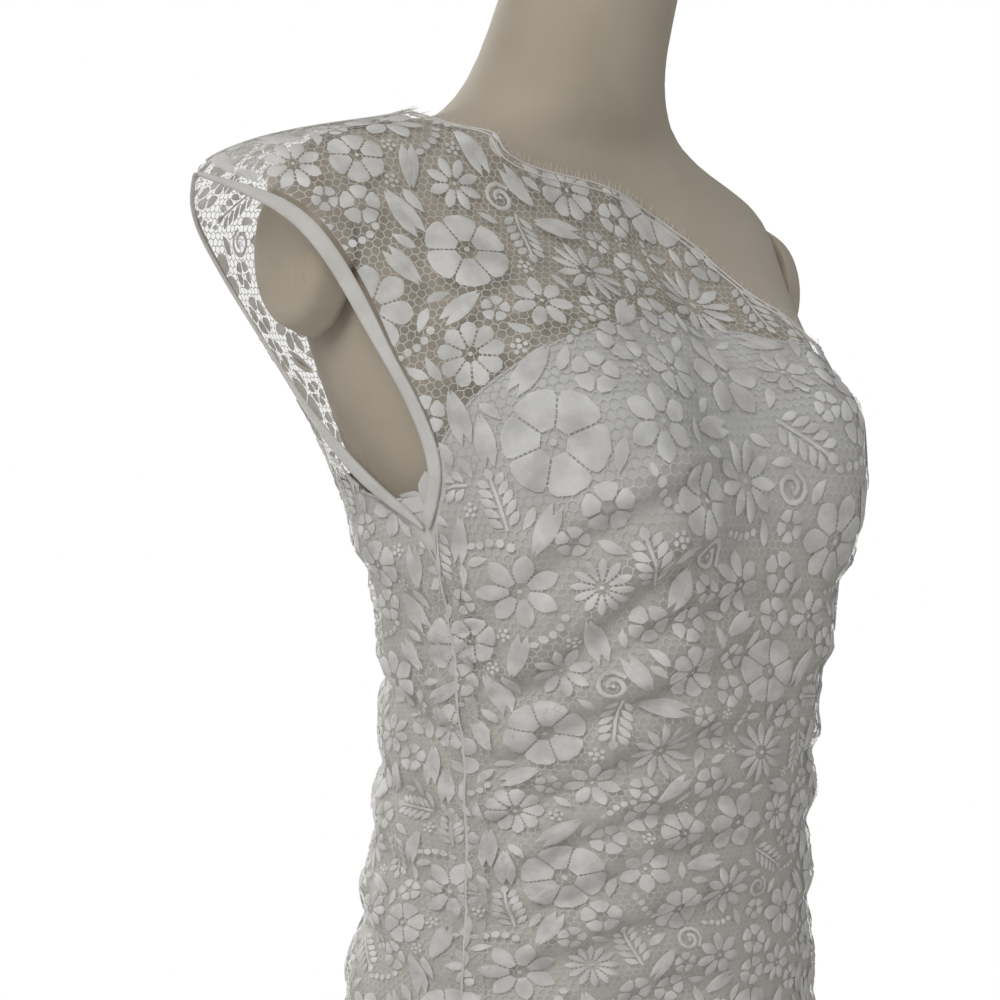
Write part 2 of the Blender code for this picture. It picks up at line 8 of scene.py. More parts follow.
# %% The frame
import json
import math
import random
import bmesh
import bpy
import numpy as np
from mathutils import Matrix, Vector, noise as space_noise
from mathutils.bvhtree import BVHTree
from mathutils.kdtree import KDTree

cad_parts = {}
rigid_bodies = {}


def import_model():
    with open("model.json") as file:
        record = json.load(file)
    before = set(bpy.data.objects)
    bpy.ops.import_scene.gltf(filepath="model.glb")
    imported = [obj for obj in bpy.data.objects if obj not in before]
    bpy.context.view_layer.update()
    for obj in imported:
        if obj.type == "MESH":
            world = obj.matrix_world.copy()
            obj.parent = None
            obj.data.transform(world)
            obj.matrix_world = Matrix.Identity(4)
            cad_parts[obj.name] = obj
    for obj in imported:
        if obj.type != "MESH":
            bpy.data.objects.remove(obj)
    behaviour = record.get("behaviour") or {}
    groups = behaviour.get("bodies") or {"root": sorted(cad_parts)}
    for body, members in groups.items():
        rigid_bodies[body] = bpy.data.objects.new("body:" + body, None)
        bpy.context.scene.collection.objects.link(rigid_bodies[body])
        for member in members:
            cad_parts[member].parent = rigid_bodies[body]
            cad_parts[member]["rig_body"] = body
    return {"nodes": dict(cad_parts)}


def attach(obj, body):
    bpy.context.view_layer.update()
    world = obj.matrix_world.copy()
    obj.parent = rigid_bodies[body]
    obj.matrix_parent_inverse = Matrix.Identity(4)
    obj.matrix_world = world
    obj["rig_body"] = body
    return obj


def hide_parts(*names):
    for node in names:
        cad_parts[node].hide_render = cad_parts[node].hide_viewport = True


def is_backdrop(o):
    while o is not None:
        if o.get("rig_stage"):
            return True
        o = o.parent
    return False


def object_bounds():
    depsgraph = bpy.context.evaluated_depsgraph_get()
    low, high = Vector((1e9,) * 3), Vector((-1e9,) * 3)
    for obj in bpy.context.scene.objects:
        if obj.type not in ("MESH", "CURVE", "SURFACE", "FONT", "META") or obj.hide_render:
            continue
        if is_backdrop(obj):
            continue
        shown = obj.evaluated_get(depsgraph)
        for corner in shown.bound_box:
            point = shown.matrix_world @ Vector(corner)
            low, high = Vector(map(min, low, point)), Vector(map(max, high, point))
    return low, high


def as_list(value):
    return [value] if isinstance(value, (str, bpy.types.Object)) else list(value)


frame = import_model()
cad_box = [list(corner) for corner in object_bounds()]
print("frame nodes:", ", ".join(sorted(frame["nodes"])))

# %% [markdown]
# ## The camera
# The photographer stood at the wearer's front right, with the lens level with the bust. The lens is
# long for the distance, so the picture holds the body from the neck to the high hip. The axis of the
# body lies a little right of the picture's middle, which is a sideways shift of the lens.

# %% Camera
VIEW_AZIMUTH = 50
VIEW_DISTANCE = 1.25
VIEW_HEIGHT = 1.217
BODY_AXIS_Y = 0.035
FOCAL_PIXELS = 2212
SENSOR = 36
PICTURE = 1000
AXIS_PIXEL = 560

camera_data = bpy.data.cameras.new("camera")
camera_data.sensor_width = SENSOR
camera_data.lens = FOCAL_PIXELS * SENSOR / PICTURE
camera_data.shift_x = (PICTURE / 2 - AXIS_PIXEL) / PICTURE
camera = bpy.data.objects.new("camera", camera_data)
bpy.context.scene.collection.objects.link(camera)
turned = math.radians(VIEW_AZIMUTH)
camera.location = (-VIEW_DISTANCE * math.sin(turned),
                   BODY_AXIS_Y - VIEW_DISTANCE * math.cos(turned), VIEW_HEIGHT)
camera.rotation_euler = (math.pi / 2, 0, -turned)
bpy.context.scene.camera = camera
print("camera at", [round(value, 3) for value in camera.location])

# %% [markdown]
# ## Finishes
# Cloth has no single flat colour. Each finish below starts from one colour, lets soft noise make parts
# of it lighter and darker, and adds a fine relief for threads or weave. Patterns that follow the cloth
# read the piece's own UV map, which is laid out in metres, and the others read Object coordinates.

# %% Helpers for materials
def new_material(name, roughness, **fixed):
    """Material with a Principled shader. fixed holds values for the shader's own sockets."""
    made = bpy.data.materials.new(name)
    made.use_nodes = True
    shader = made.node_tree.nodes["Principled BSDF"]
    shader.inputs["Roughness"].default_value = roughness
    for socket, value in fixed.items():
        shader.inputs[socket.replace("_", " ")].default_value = value
    return made, made.node_tree, shader


def link(tree, start, end):
    tree.links.new(start, end)


def coordinates(tree, kind):
    """Texture coordinates of a kind, in metres."""
    return tree.nodes.new("ShaderNodeTexCoord").outputs[kind]


def noise(tree, vector, scale, detail=3.0):
    made = tree.nodes.new("ShaderNodeTexNoise")
    made.inputs["Scale"].default_value = scale
    made.inputs["Detail"].default_value = detail
    link(tree, vector, made.inputs["Vector"])
    return made.outputs["Fac"]


def blend_colours(tree, factor, low, high, start=0.35, end=0.65):
    """Colour between low and high, as factor goes from start to end."""
    ramp = tree.nodes.new("ShaderNodeValToRGB")
    ramp.color_ramp.elements[0].position = start
    ramp.color_ramp.elements[1].position = end
    ramp.color_ramp.elements[0].color = (*low, 1)
    ramp.color_ramp.elements[1].color = (*high, 1)
    link(tree, factor, ramp.inputs["Fac"])
    return ramp.outputs["Color"]


def mottle(tree, shader, place, scale, low, high):
    """Base colour that drifts between low and high in soft patches."""
    colour = blend_colours(tree, noise(tree, place, scale), low, high)
    link(tree, colour, shader.inputs["Base Color"])
    return colour


def add_bump(tree, shader, height, distance, strength=0.6):
    bump = tree.nodes.new("ShaderNodeBump")
    bump.inputs["Distance"].default_value = distance
    bump.inputs["Strength"].default_value = strength
    link(tree, height, bump.inputs["Height"])
    link(tree, bump.outputs["Normal"], shader.inputs["Normal"])


def waves(tree, vector, scale, direction="X", distortion=0.0):
    made = tree.nodes.new("ShaderNodeTexWave")
    made.bands_direction = direction
    made.inputs["Scale"].default_value = scale
    made.inputs["Distortion"].default_value = distortion
    link(tree, vector, made.inputs["Vector"])
    return made.outputs["Fac"]


print("helpers for finishes are ready")

# %% [markdown]
# ### Lace
# The lace is cotton and viscose thread. The flowers are cloth work, laid so close that single threads show
# only as a faint rib. The net round them is the same thread, twisted. The net gets a slightly darker tone
# than the flowers, because a thin thread shades itself. Cloth work is thin enough to let some light
# through from behind, so part of it is a translucent shader of the same colour. The ground is a faint pale
# sheet that spans the meshes of the net and hides little of what lies behind. Its pale colour is painted
# light: it lightens the shade seen through the meshes. The seam allowances are a second layer of lace,
# which hides half.

# %% Lace finishes
def lace_finish(name, low, high, rib, kind="UV", through=0.0):
    """Finish of thread. through is the share of the light that comes through from behind."""
    made, tree, shader = new_material(name, 0.78, Sheen_Weight=0.25, Sheen_Roughness=0.5)
    place = coordinates(tree, kind)
    colour = mottle(tree, shader, place, 60, low, high)
    add_bump(tree, shader, waves(tree, place, rib, "DIAGONAL", 0.5), 0.00015)
    if through:
        behind = tree.nodes.new("ShaderNodeBsdfTranslucent")
        link(tree, colour, behind.inputs["Color"])
        both = tree.nodes.new("ShaderNodeMixShader")
        both.inputs["Fac"].default_value = through
        link(tree, shader.outputs["BSDF"], both.inputs[1])
        link(tree, behind.outputs["BSDF"], both.inputs[2])
        link(tree, both.outputs["Shader"], tree.nodes["Material Output"].inputs["Surface"])
    return made


def ground_finish(name, colour, cover):
    """Faint cloth. cover is the share of what lies behind that it hides."""
    made, tree, shader = new_material(name, 0.9)
    mottle(tree, shader, coordinates(tree, "UV"), 300, [0.8 * c for c in colour], colour)
    shader.inputs["Alpha"].default_value = cover
    return made


flower_cloth = lace_finish("flower_cloth", (0.64, 0.63, 0.61), (0.88, 0.87, 0.85), 340, through=0.3)
net_thread = lace_finish("net_thread", (0.50, 0.48, 0.44), (0.62, 0.60, 0.56), 700)
edge_thread = lace_finish("edge_thread", (0.60, 0.57, 0.53), (0.70, 0.67, 0.64), 500, "Object")
binding_cloth = lace_finish("binding_cloth", (0.58, 0.56, 0.53), (0.66, 0.64, 0.61), 900, "Object")
# Painted light: the lace ground's pale colour, hiding 0.18 of what lies behind, lightens the shade seen
# through the net's meshes.
lace_ground = ground_finish("lace_ground", (0.66, 0.64, 0.60), 0.18)
seam_cloth = ground_finish("seam_cloth", (0.72, 0.70, 0.66), 0.5)
print("lace finishes:", [made.name for made in (flower_cloth, net_thread, edge_thread, binding_cloth,
                                                lace_ground, seam_cloth)])

# %% [markdown]
# ### Lining, form and stand
# The lining is a crepe with a soft shine. It is grey beside the lace over the bust, and towards the waist
# its colour drifts with height to a warmer, slightly darker tone. That tone is painted shade for the shade
# that falls on the lining below the bust. The form's cover is a plain weave in beige, stretched smooth.
# The stand has a satin steel pole and an enamelled base.

# %% Lining finish
def drift(tree, low_z, high_z):
    """0 below low_z and 1 above high_z."""
    split = tree.nodes.new("ShaderNodeSeparateXYZ")
    span = tree.nodes.new("ShaderNodeMapRange")
    span.interpolation_type = "SMOOTHSTEP"
    span.inputs["From Min"].default_value = low_z
    span.inputs["From Max"].default_value = high_z
    link(tree, coordinates(tree, "Object"), split.inputs["Vector"])
    link(tree, split.outputs["Z"], span.inputs["Value"])
    return span.outputs["Result"]


WARM_SHADE_BELOW, COOL_ABOVE = 1.16, 1.26


def lining_finish():
    made, tree, shader = new_material("lining_crepe", 0.55, Sheen_Weight=0.2)
    place = coordinates(tree, "UV")
    # Painted shade: below the bust the lining's colour turns warmer and slightly darker, for the shade
    # that falls there.
    height = drift(tree, WARM_SHADE_BELOW, COOL_ABOVE)
    base = blend_colours(tree, height, (0.60, 0.575, 0.53), (0.61, 0.61, 0.605), 0.0, 1.0)
    mix = tree.nodes.new("ShaderNodeMix")
    mix.data_type = "RGBA"
    mix.blend_type = "MULTIPLY"
    mix.inputs["Factor"].default_value = 1.0
    link(tree, base, mix.inputs[6])
    link(tree, blend_colours(tree, noise(tree, place, 25), (0.92, 0.92, 0.92), (1, 1, 1)), mix.inputs[7])
    link(tree, mix.outputs[2], shader.inputs["Base Color"])
    add_bump(tree, shader, noise(tree, place, 2500, 1.0), 0.0001)
    return made


lining_crepe = lining_finish()
print("lining finish:", lining_crepe.name)

# %% Form and stand finishes
def woven_finish(name, low, high, threads):
    made, tree, shader = new_material(name, 0.85, Sheen_Weight=0.15)
    place = coordinates(tree, "Object")
    mottle(tree, shader, place, 18, low, high)
    weave = tree.nodes.new("ShaderNodeMath")
    weave.operation = "MULTIPLY"
    link(tree, waves(tree, place, threads, "Z"), weave.inputs[0])
    link(tree, waves(tree, place, threads, "X"), weave.inputs[1])
    add_bump(tree, shader, weave.outputs["Value"], 0.0001)
    return made


def hard_finish(name, low, high, roughness, metallic):
    made, tree, shader = new_material(name, roughness, Metallic=metallic)
    place = coordinates(tree, "Object")
    mottle(tree, shader, place, 30, low, high)
    add_bump(tree, shader, noise(tree, place, 900, 2.0), 0.00002)
    return made


form_cloth = woven_finish("woven_cover", (0.42, 0.365, 0.282), (0.47, 0.41, 0.325), 1100)
pole_steel = hard_finish("pole_steel", (0.50, 0.50, 0.51), (0.60, 0.60, 0.61), 0.32, 1.0)
stand_enamel = hard_finish("satin_enamel", (0.66, 0.65, 0.63), (0.72, 0.71, 0.69), 0.4, 0.0)
print("form and stand finishes:", form_cloth.name, pole_steel.name, stand_enamel.name)

# %% [markdown]
# ## Cloth panels from the frame
# A panel in the frame is a closed wall: an outer skin, an inner skin and narrow rims. A real panel is
# one sheet, so only the outer skin is kept. Its triangles are joined to quads, which Subdivision
# Surface rounds well. Unwrapping the skin lays the panel out flat again, as it was cut, and that flat
# layout later carries the lace's pattern.

# %% Helpers for meshes
SKIN_TURN = 0.7
MERGED_WITHIN = 2e-5
INSIDE_Y, INSIDE_TOP = 0.03, 1.28
COLLECTION = bpy.context.scene.collection


def new_piece(name, shape, finish):
    """Object from a bmesh or a mesh, riding on the part's body."""
    if isinstance(shape, bmesh.types.BMesh):
        mesh = bpy.data.meshes.new(name)
        shape.to_mesh(mesh)
        shape.free()
    else:
        mesh = shape
    mesh.shade_smooth()
    mesh.materials.clear()
    mesh.materials.append(finish)
    made = bpy.data.objects.new(name, mesh)
    COLLECTION.objects.link(made)
    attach(made, "root")
    return made


def merged(node):
    """Copy of a node's mesh with its loose triangles joined up."""
    shape = bmesh.new()
    shape.from_mesh(frame["nodes"][node].data)
    bmesh.ops.remove_doubles(shape, verts=shape.verts, dist=MERGED_WITHIN)
    return shape


def as_drawn(source):
    """Mesh of an object with its modifiers, or its curve settings, applied."""
    bpy.context.view_layer.update()
    graph = bpy.context.evaluated_depsgraph_get()
    return bpy.data.meshes.new_from_object(source.evaluated_get(graph), depsgraph=graph,
                                           preserve_all_data_layers=source.type == "MESH")


def made_mesh(name, data, prepare=None):
    """Mesh of a curve, or of a mesh after prepare has added modifiers to its carrier."""
    carrier = bpy.data.objects.new(name, data)
    COLLECTION.objects.link(carrier)
    if prepare:
        prepare(carrier)
    mesh = as_drawn(carrier)
    bpy.data.objects.remove(carrier)
    return mesh


def rounded(piece, levels):
    """Subdivision Surface of a piece, applied."""
    modifier = piece.modifiers.new("round", "SUBSURF")
    modifier.levels = modifier.render_levels = levels
    modifier.boundary_smooth = "PRESERVE_CORNERS"
    mesh = as_drawn(piece)
    piece.modifiers.clear()
    piece.data = mesh
    return piece


def fetch(items, field, width, kind=float):
    """A field of all the items as an array."""
    values = np.empty(len(items) * width, kind)
    items.foreach_get(field, values)
    return values.reshape(-1, width)


def read(mesh, field="co"):
    return fetch(mesh.vertices, field, 3)


def write(mesh, places):
    mesh.vertices.foreach_set("co", np.ascontiguousarray(places).ravel())
    mesh.update()


def triangle_count(piece):
    piece.data.calc_loop_triangles()
    return len(piece.data.loop_triangles)


def inside_of(point):
    """A point well inside the body, level with the one given."""
    return Vector((point.x / 2, INSIDE_Y, min(point.z, INSIDE_TOP)))


def outer_skin(node):
    """The outward skin of a panel's wall, in quads.

    It grows from its largest face as far as sharp edges. A fold may stop it too, but all the corners of
    the faces in a fold are on the skin already, and no face of the rims has that."""
    shape = merged(node)
    outward = [face for face in shape.faces if face.normal.dot(
        face.calc_center_median() - inside_of(face.calc_center_median())) > 0]
    skin = [max(outward, key=lambda face: face.calc_area())]
    reached = set(skin)
    for face in skin:
        for edge in face.edges:
            for other in edge.link_faces:
                if other not in reached and face.normal.angle(other.normal, 3) < SKIN_TURN:
                    reached.add(other)
                    skin.append(other)
    corners = {vertex for face in skin for vertex in face.verts}
    bmesh.ops.delete(shape, geom=[face for face in shape.faces if not corners.issuperset(face.verts)],
                     context="FACES")
    bmesh.ops.join_triangles(shape, faces=shape.faces, angle_face_threshold=1.2,
                             angle_shape_threshold=2.0)
    return shape


print("mesh helpers are ready")

# %% [markdown]
# ## Flat layout
# Fabric coordinates are the panel's own: u across and v along the cloth, in metres, as if it lay flat on
# the cutting table. Unwrapping gives them, but at a scale and angle of its own, so they are turned until
# v climbs with height and scaled to the panel's real area. Where the panel is gathered into the side
# seams it holds more cloth than it covers, so v runs faster there and the pattern looks squeezed.

# %% Fabric coordinates
GATHER_LOW, GATHER_HIGH = 0.80, 1.20
GATHER_EXTRA = 0.30


def unwrap(piece):
    """Unwraps the whole piece as one island."""
    bpy.context.view_layer.objects.active = piece
    piece.data.uv_layers.new(name="cloth")
    bpy.ops.object.mode_set(mode="EDIT")
    bpy.ops.mesh.select_all(action="SELECT")
    bpy.ops.uv.unwrap(method="ANGLE_BASED", margin=0)
    bpy.ops.object.mode_set(mode="OBJECT")


def vertex_uv(mesh):
    """One UV for each vertex."""
    uv = np.empty((len(mesh.vertices), 2))
    uv[fetch(mesh.loops, "vertex_index", 1, int)[:, 0]] = fetch(mesh.uv_layers.active.data, "uv", 2)
    return uv


def write_uv(mesh, uv):
    corners = uv[fetch(mesh.loops, "vertex_index", 1, int)[:, 0]]
    mesh.uv_layers.active.data.foreach_set("uv", np.ascontiguousarray(corners).ravel())


def triangles_of(mesh):
    mesh.calc_loop_triangles()
    return fetch(mesh.loop_triangles, "vertices", 3, int)


def area_of(points, triangles):
    a, b, c = (points[triangles[:, k]] for k in range(3))
    if points.shape[1] == 2:
        return abs(np.sum(np.cross(b - a, c - a))) / 2
    return np.linalg.norm(np.cross(b - a, c - a), axis=1).sum() / 2


def gathered(z):
    """Extra length of cloth taken up below a height."""
    share = np.clip((z - GATHER_LOW) / (GATHER_HIGH - GATHER_LOW), 0, 1)
    return GATHER_EXTRA * (GATHER_HIGH - GATHER_LOW) * share * share * (3 - 2 * share)


def lay_flat(piece, share=1.0):
    """Turns the UV map into fabric coordinates in metres, with a share of the gathers."""
    unwrap(piece)
    mesh = piece.data
    places, uv, triangles = read(mesh), vertex_uv(mesh), triangles_of(mesh)
    uv -= uv.mean(axis=0)
    climb = np.linalg.lstsq(np.c_[uv, np.ones(len(uv))], places[:, 2], rcond=None)[0][:2]
    up = climb / np.linalg.norm(climb)
    uv = np.stack([uv @ (up[1], -up[0]), uv @ up], axis=1)
    uv *= math.sqrt(area_of(places, triangles) / area_of(uv, triangles))
    uv[:, 1] += share * gathered(places[:, 2])
    write_uv(mesh, uv)
    return uv.max(axis=0) - uv.min(axis=0)


print("the gathers take up", round(gathered(2.0) * 1000), "mm of cloth")

# %% [markdown]
# ## Folds
# The panel is gathered into its side seams, so folds start there, rise towards the middle of the body and
# die away. Each is a soft trough with a roll of cloth above it. The rows below give its line as an angle
# round the body (180 at the wearer's right, 270 at the front) and a height, and then its depth and width.
# Close to the seams small puckers run between them. The frame's folds are even, so they are smoothed
# away first, and the ones below take their place.

# %% Creases
CREASES_FRONT = (
    (((188, 1.147), (205, 1.177), (221, 1.207), (240, 1.224), (266, 1.233)), 0.0036, 0.0078),
    (((190, 1.115), (203, 1.122), (217, 1.147), (228, 1.172), (240, 1.184), (262, 1.195)), 0.0067, 0.0070),
    (((214, 1.128), (226, 1.146), (240, 1.158), (262, 1.166), (292, 1.160)), 0.0041, 0.0062),
    (((187, 1.075), (198, 1.086), (207, 1.100), (227, 1.113), (250, 1.131), (278, 1.139)), 0.0062, 0.0070),
    (((188, 1.043), (203, 1.066), (230, 1.086), (250, 1.095), (276, 1.100), (300, 1.090)), 0.0058, 0.0070),
    (((189, 1.014), (210, 1.041), (227, 1.055), (250, 1.062), (280, 1.064)), 0.0054, 0.0070),
    (((190, 0.999), (207, 1.015), (217, 1.024), (233, 1.036), (262, 1.040), (290, 1.030)), 0.0049, 0.0062),
    (((191, 0.968), (206, 0.984), (226, 0.998), (256, 1.006), (288, 1.000)), 0.0049, 0.0078),
    (((192, 0.934), (212, 0.955), (238, 0.968), (270, 0.972)), 0.0041, 0.0078),
    (((192, 0.896), (214, 0.920), (246, 0.934), (282, 0.934)), 0.0036, 0.0094),
    (((193, 0.862), (216, 0.880), (244, 0.892), (270, 0.894)), 0.0025, 0.0101),
    (((350, 1.150), (334, 1.165), (314, 1.172), (296, 1.168)), 0.0030, 0.0072),
    (((350, 1.105), (332, 1.120), (312, 1.124), (292, 1.118)), 0.0032, 0.0072),
    (((350, 1.062), (330, 1.076), (306, 1.076), (284, 1.070)), 0.0032, 0.0072),
    (((350, 1.022), (328, 1.036), (300, 1.040)), 0.0030, 0.0080),
    (((350, 0.976), (330, 0.990), (302, 0.992)), 0.0028, 0.0080),
    (((350, 0.922), (326, 0.944), (296, 0.950)), 0.0023, 0.0096),
)
CREASES_BACK = (
    (((186, 1.150), (170, 1.172), (150, 1.186), (118, 1.192)), 0.0028, 0.0080),
    (((184, 1.090), (172, 1.106), (153, 1.121), (124, 1.132), (96, 1.130)), 0.0038, 0.0072),
    (((184, 1.048), (171, 1.062), (144, 1.077), (112, 1.084)), 0.0035, 0.0072),
    (((186, 1.004), (174, 1.022), (150, 1.040), (118, 1.048), (88, 1.044)), 0.0035, 0.0080),
    (((188, 0.960), (172, 0.980), (146, 0.996), (110, 1.002)), 0.0030, 0.0080),
    (((190, 0.914), (170, 0.938), (140, 0.952), (104, 0.954)), 0.0024, 0.0096),
    (((-10, 1.140), (12, 1.160), (40, 1.168), (66, 1.162)), 0.0030, 0.0080),
    (((-10, 1.080), (12, 1.098), (40, 1.104), (72, 1.100)), 0.0032, 0.0072),
    (((-10, 1.030), (14, 1.046), (46, 1.052)), 0.0032, 0.0080),
    (((-10, 0.980), (14, 0.998), (44, 1.004), (70, 1.000)), 0.0030, 0.0080),
    (((-10, 0.926), (16, 0.946), (48, 0.952)), 0.0024, 0.0096),
)
BODY_RADIUS = 0.145
# a crease sets in over this share of its length and dies away over that one
CREASE_START, CREASE_END = 0.08, 0.45
# the roll above a trough: its share of the depth, and its place and width in widths of the trough
ROLL_SHARE, ROLL_UP, ROLL_WIDTH = 0.7, 1.7, 1.1
PUCKER_DEPTH = 0.0016
PUCKER_REACH = 0.026
PUCKER_LOW, PUCKER_HIGH = 0.84, 1.19


def body_angle(places, start):
    """Angle of each point round the body in degrees, from start up to start + 360."""
    angle = np.degrees(np.arctan2(places[:, 1], places[:, 0]))
    return (angle - start) % 360 + start


def crease_relief(places, creases, start):
    """How far the folds push the cloth out, in metres."""
    across = np.radians(body_angle(places, start)) * BODY_RADIUS
    out = np.zeros(len(places))
    for line, depth, width in creases:
        nearest = np.full(len(places), 1.0)
        side = np.zeros(len(places))
        along = np.zeros(len(places))
        stops = np.array([(math.radians(angle) * BODY_RADIUS, height) for angle, height in line])
        lengths = np.r_[0, np.cumsum(np.linalg.norm(np.diff(stops, axis=0), axis=1))]
        for k, (first, second) in enumerate(zip(stops, stops[1:])):
            way = second - first
            from_first = np.stack([across - first[0], places[:, 2] - first[1]], axis=1)
            t = np.clip(from_first @ way / (way @ way), 0, 1)
            apart = from_first - t[:, None] * way
            distance = np.linalg.norm(apart, axis=1)
            closer = distance < nearest
            nearest[closer] = distance[closer]
            side[closer] = apart[closer, 1]
            along[closer] = (lengths[k] + t * math.hypot(*way))[closer] / lengths[-1]
        fade = np.clip(along / CREASE_START, 0, 1) * np.clip((1 - along) / CREASE_END, 0, 1) ** 0.8
        signed = np.where(side > 0, nearest, -nearest)
        trough = np.exp(-(signed / width) ** 2)
        roll = np.exp(-((signed - ROLL_UP * width) / (ROLL_WIDTH * width)) ** 2)
        out += depth * fade * (ROLL_SHARE * roll - trough)
    return out


def pucker_relief(places, seam_points):
    """Small gathers that run out of a side seam."""
    tree = KDTree(len(seam_points))
    for k, point in enumerate(seam_points):
        tree.insert(point, k)
    tree.balance()
    near = np.array([tree.find(point)[2] for point in places])
    z = places[:, 2]
    wave = np.sin(z * 520 + 3 * np.sin(z * 61)) + 0.6 * np.sin(z * 830 + 2 * np.sin(z * 97))
    zone = np.clip((z - PUCKER_LOW) / 0.05, 0, 1) * np.clip((PUCKER_HIGH - z) / 0.03, 0, 1)
    return PUCKER_DEPTH * wave * zone * np.exp(-(near / PUCKER_REACH) ** 2) * np.clip(near / 0.004, 0, 1)


FINE_DEPTH = 0.0024
FINE_RISE, FINE_RUN = 0.055, 0.070
SEAM_RIGHT, SEAM_LEFT = 187, 350


def fine_folds(places):
    """Shallow uneven folds between the creases. They leave both seams rising, as the creases do."""
    angle = body_angle(places, SEAM_RIGHT)
    inner = np.where(angle < SEAM_LEFT, np.minimum(angle - SEAM_RIGHT, SEAM_LEFT - angle),
                     np.minimum(angle - SEAM_LEFT, SEAM_RIGHT + 360 - angle))
    z = places[:, 2]
    level = z - FINE_RISE * (1 - np.exp(-np.radians(inner) * BODY_RADIUS / FINE_RUN))
    around = np.radians(angle) * BODY_RADIUS
    folds = np.array([space_noise.noise(Vector((x * 8, y * 44, 1.5)))
                      + 0.5 * space_noise.noise(Vector((x * 13, y * 90, 7.5)))
                      for x, y in zip(around, level)])
    zone = np.clip((z - GATHER_LOW) / 0.08, 0, 1) * np.clip((GATHER_HIGH - z) / 0.05, 0, 1)
    return FINE_DEPTH * folds * zone


print(len(CREASES_FRONT), "creases on the front,", len(CREASES_BACK), "on the back")

# %% [markdown]
# ## The lace's ground
# The ground is the panel itself: one thin sheet with the gown's real shape, its folds and its flat layout.
# The net and the flowers are laid on it afterwards. It could be left out, since it hardly shows, but it is
# what the other pieces follow.
# In three places it leaves the frame by some millimetres. The neckline beside the neck runs lower and
# straighter, the left of the yoke lies on the form instead of standing off it, and no fold sinks into
# the form.

# %% Lace grounds
EVEN_TIMES = 40
EVEN_LOW, EVEN_HIGH, SEAM_HIGH = 0.80, 1.20, 1.14
YOKE_TIMES = 4
YOKE_ABOVE = 1.28
LACE_CLEAR = 0.0026
CLEAR_WITHIN = 0.05
PANEL_START = {"front": 90, "back": -100}
NECK_SPOT = np.array((-0.090, 0.013, 1.426))
NECK_SHIFT = np.array((-0.008, -0.002, -0.014))
NECK_REACH = 0.045
# left half of the yoke, which lies on the form: where it starts, how far the pull takes to set in, and
# how far off the form the lace may stand
YOKE_LEFT, YOKE_FROM, YOKE_FADE = -0.02, 1.27, 0.03
YOKE_GAP = (0.0016, 0.0021)


def boundary_points(mesh):
    """Places of the vertices on the piece's rim."""
    shape = bmesh.new()
    shape.from_mesh(mesh)
    found = [vertex.co.copy() for vertex in shape.verts if vertex.is_boundary]
    shape.free()
    return found


def surface_of(mesh, change=None):
    """Search tree over a mesh's faces, in its own coordinates, with its places changed if asked."""
    places = change(read(mesh)) if change else read(mesh)
    return BVHTree.FromPolygons(places.tolist(), [tuple(face.vertices) for face in mesh.polygons])


def lowered(places):
    """The neckline beside the neck, a little lower and straighter than in the frame."""
    apart = np.linalg.norm(places - NECK_SPOT, axis=1) / NECK_REACH
    return places + np.clip(1 - apart * apart, 0, 1)[:, None] ** 2 * NECK_SHIFT


def moved_out(places, surface, step):
    """Places moved along a surface's normals. step(place, height, distance) says how far for each."""
    moved = places.copy()
    for k, place in enumerate(places):
        near, normal, _, distance = surface.find_nearest(Vector(place))
        out = step(place, (Vector(place) - near).dot(normal), distance)
        if out:
            moved[k] = Vector(place) + normal * out
    return moved


def drawn_to_form(places):
    """Lace that lies on the form at the left of the yoke doesn't stand off it."""
    def step(place, height, distance):
        share = (min(max((place[0] - YOKE_LEFT) / YOKE_FADE, 0), 1)
                 * min(max((place[2] - YOKE_FROM) / YOKE_FADE, 0), 1))
        return share * (min(max(height, YOKE_GAP[0]), YOKE_GAP[1]) - height)
    return moved_out(places, form_surface, step)


def kept_off(places, surface, clear):
    """Places moved out until they lie at least clear outside a surface."""
    def step(place, height, distance):
        return clear - height if distance < CLEAR_WITHIN and height < clear else 0
    return moved_out(places, surface, step)


form_surface = surface_of(frame["nodes"]["form_torso"].data)


def evened(shape, times):
    """Takes the even ribs out of the gathers. Points move level, each towards those above and below."""
    ribbed = {}
    for vertex in shape.verts:
        if EVEN_LOW < vertex.co.z < (SEAM_HIGH if vertex.is_boundary else EVEN_HIGH):
            ways = [edge for edge in vertex.link_edges if edge.is_boundary or not vertex.is_boundary]
            ribbed[vertex] = [edge.other_vert(vertex) for edge in ways
                              if abs(edge.verts[0].co.z - edge.verts[1].co.z) > 0.6 * edge.calc_length()]
    for _ in range(times):
        aims = {vertex: sum((other.co for other in near), Vector()) / len(near)
                for vertex, near in ribbed.items() if len(near) > 1}
        for vertex, aim in aims.items():
            vertex.co.xy = vertex.co.xy.lerp(aim.xy, 0.5)


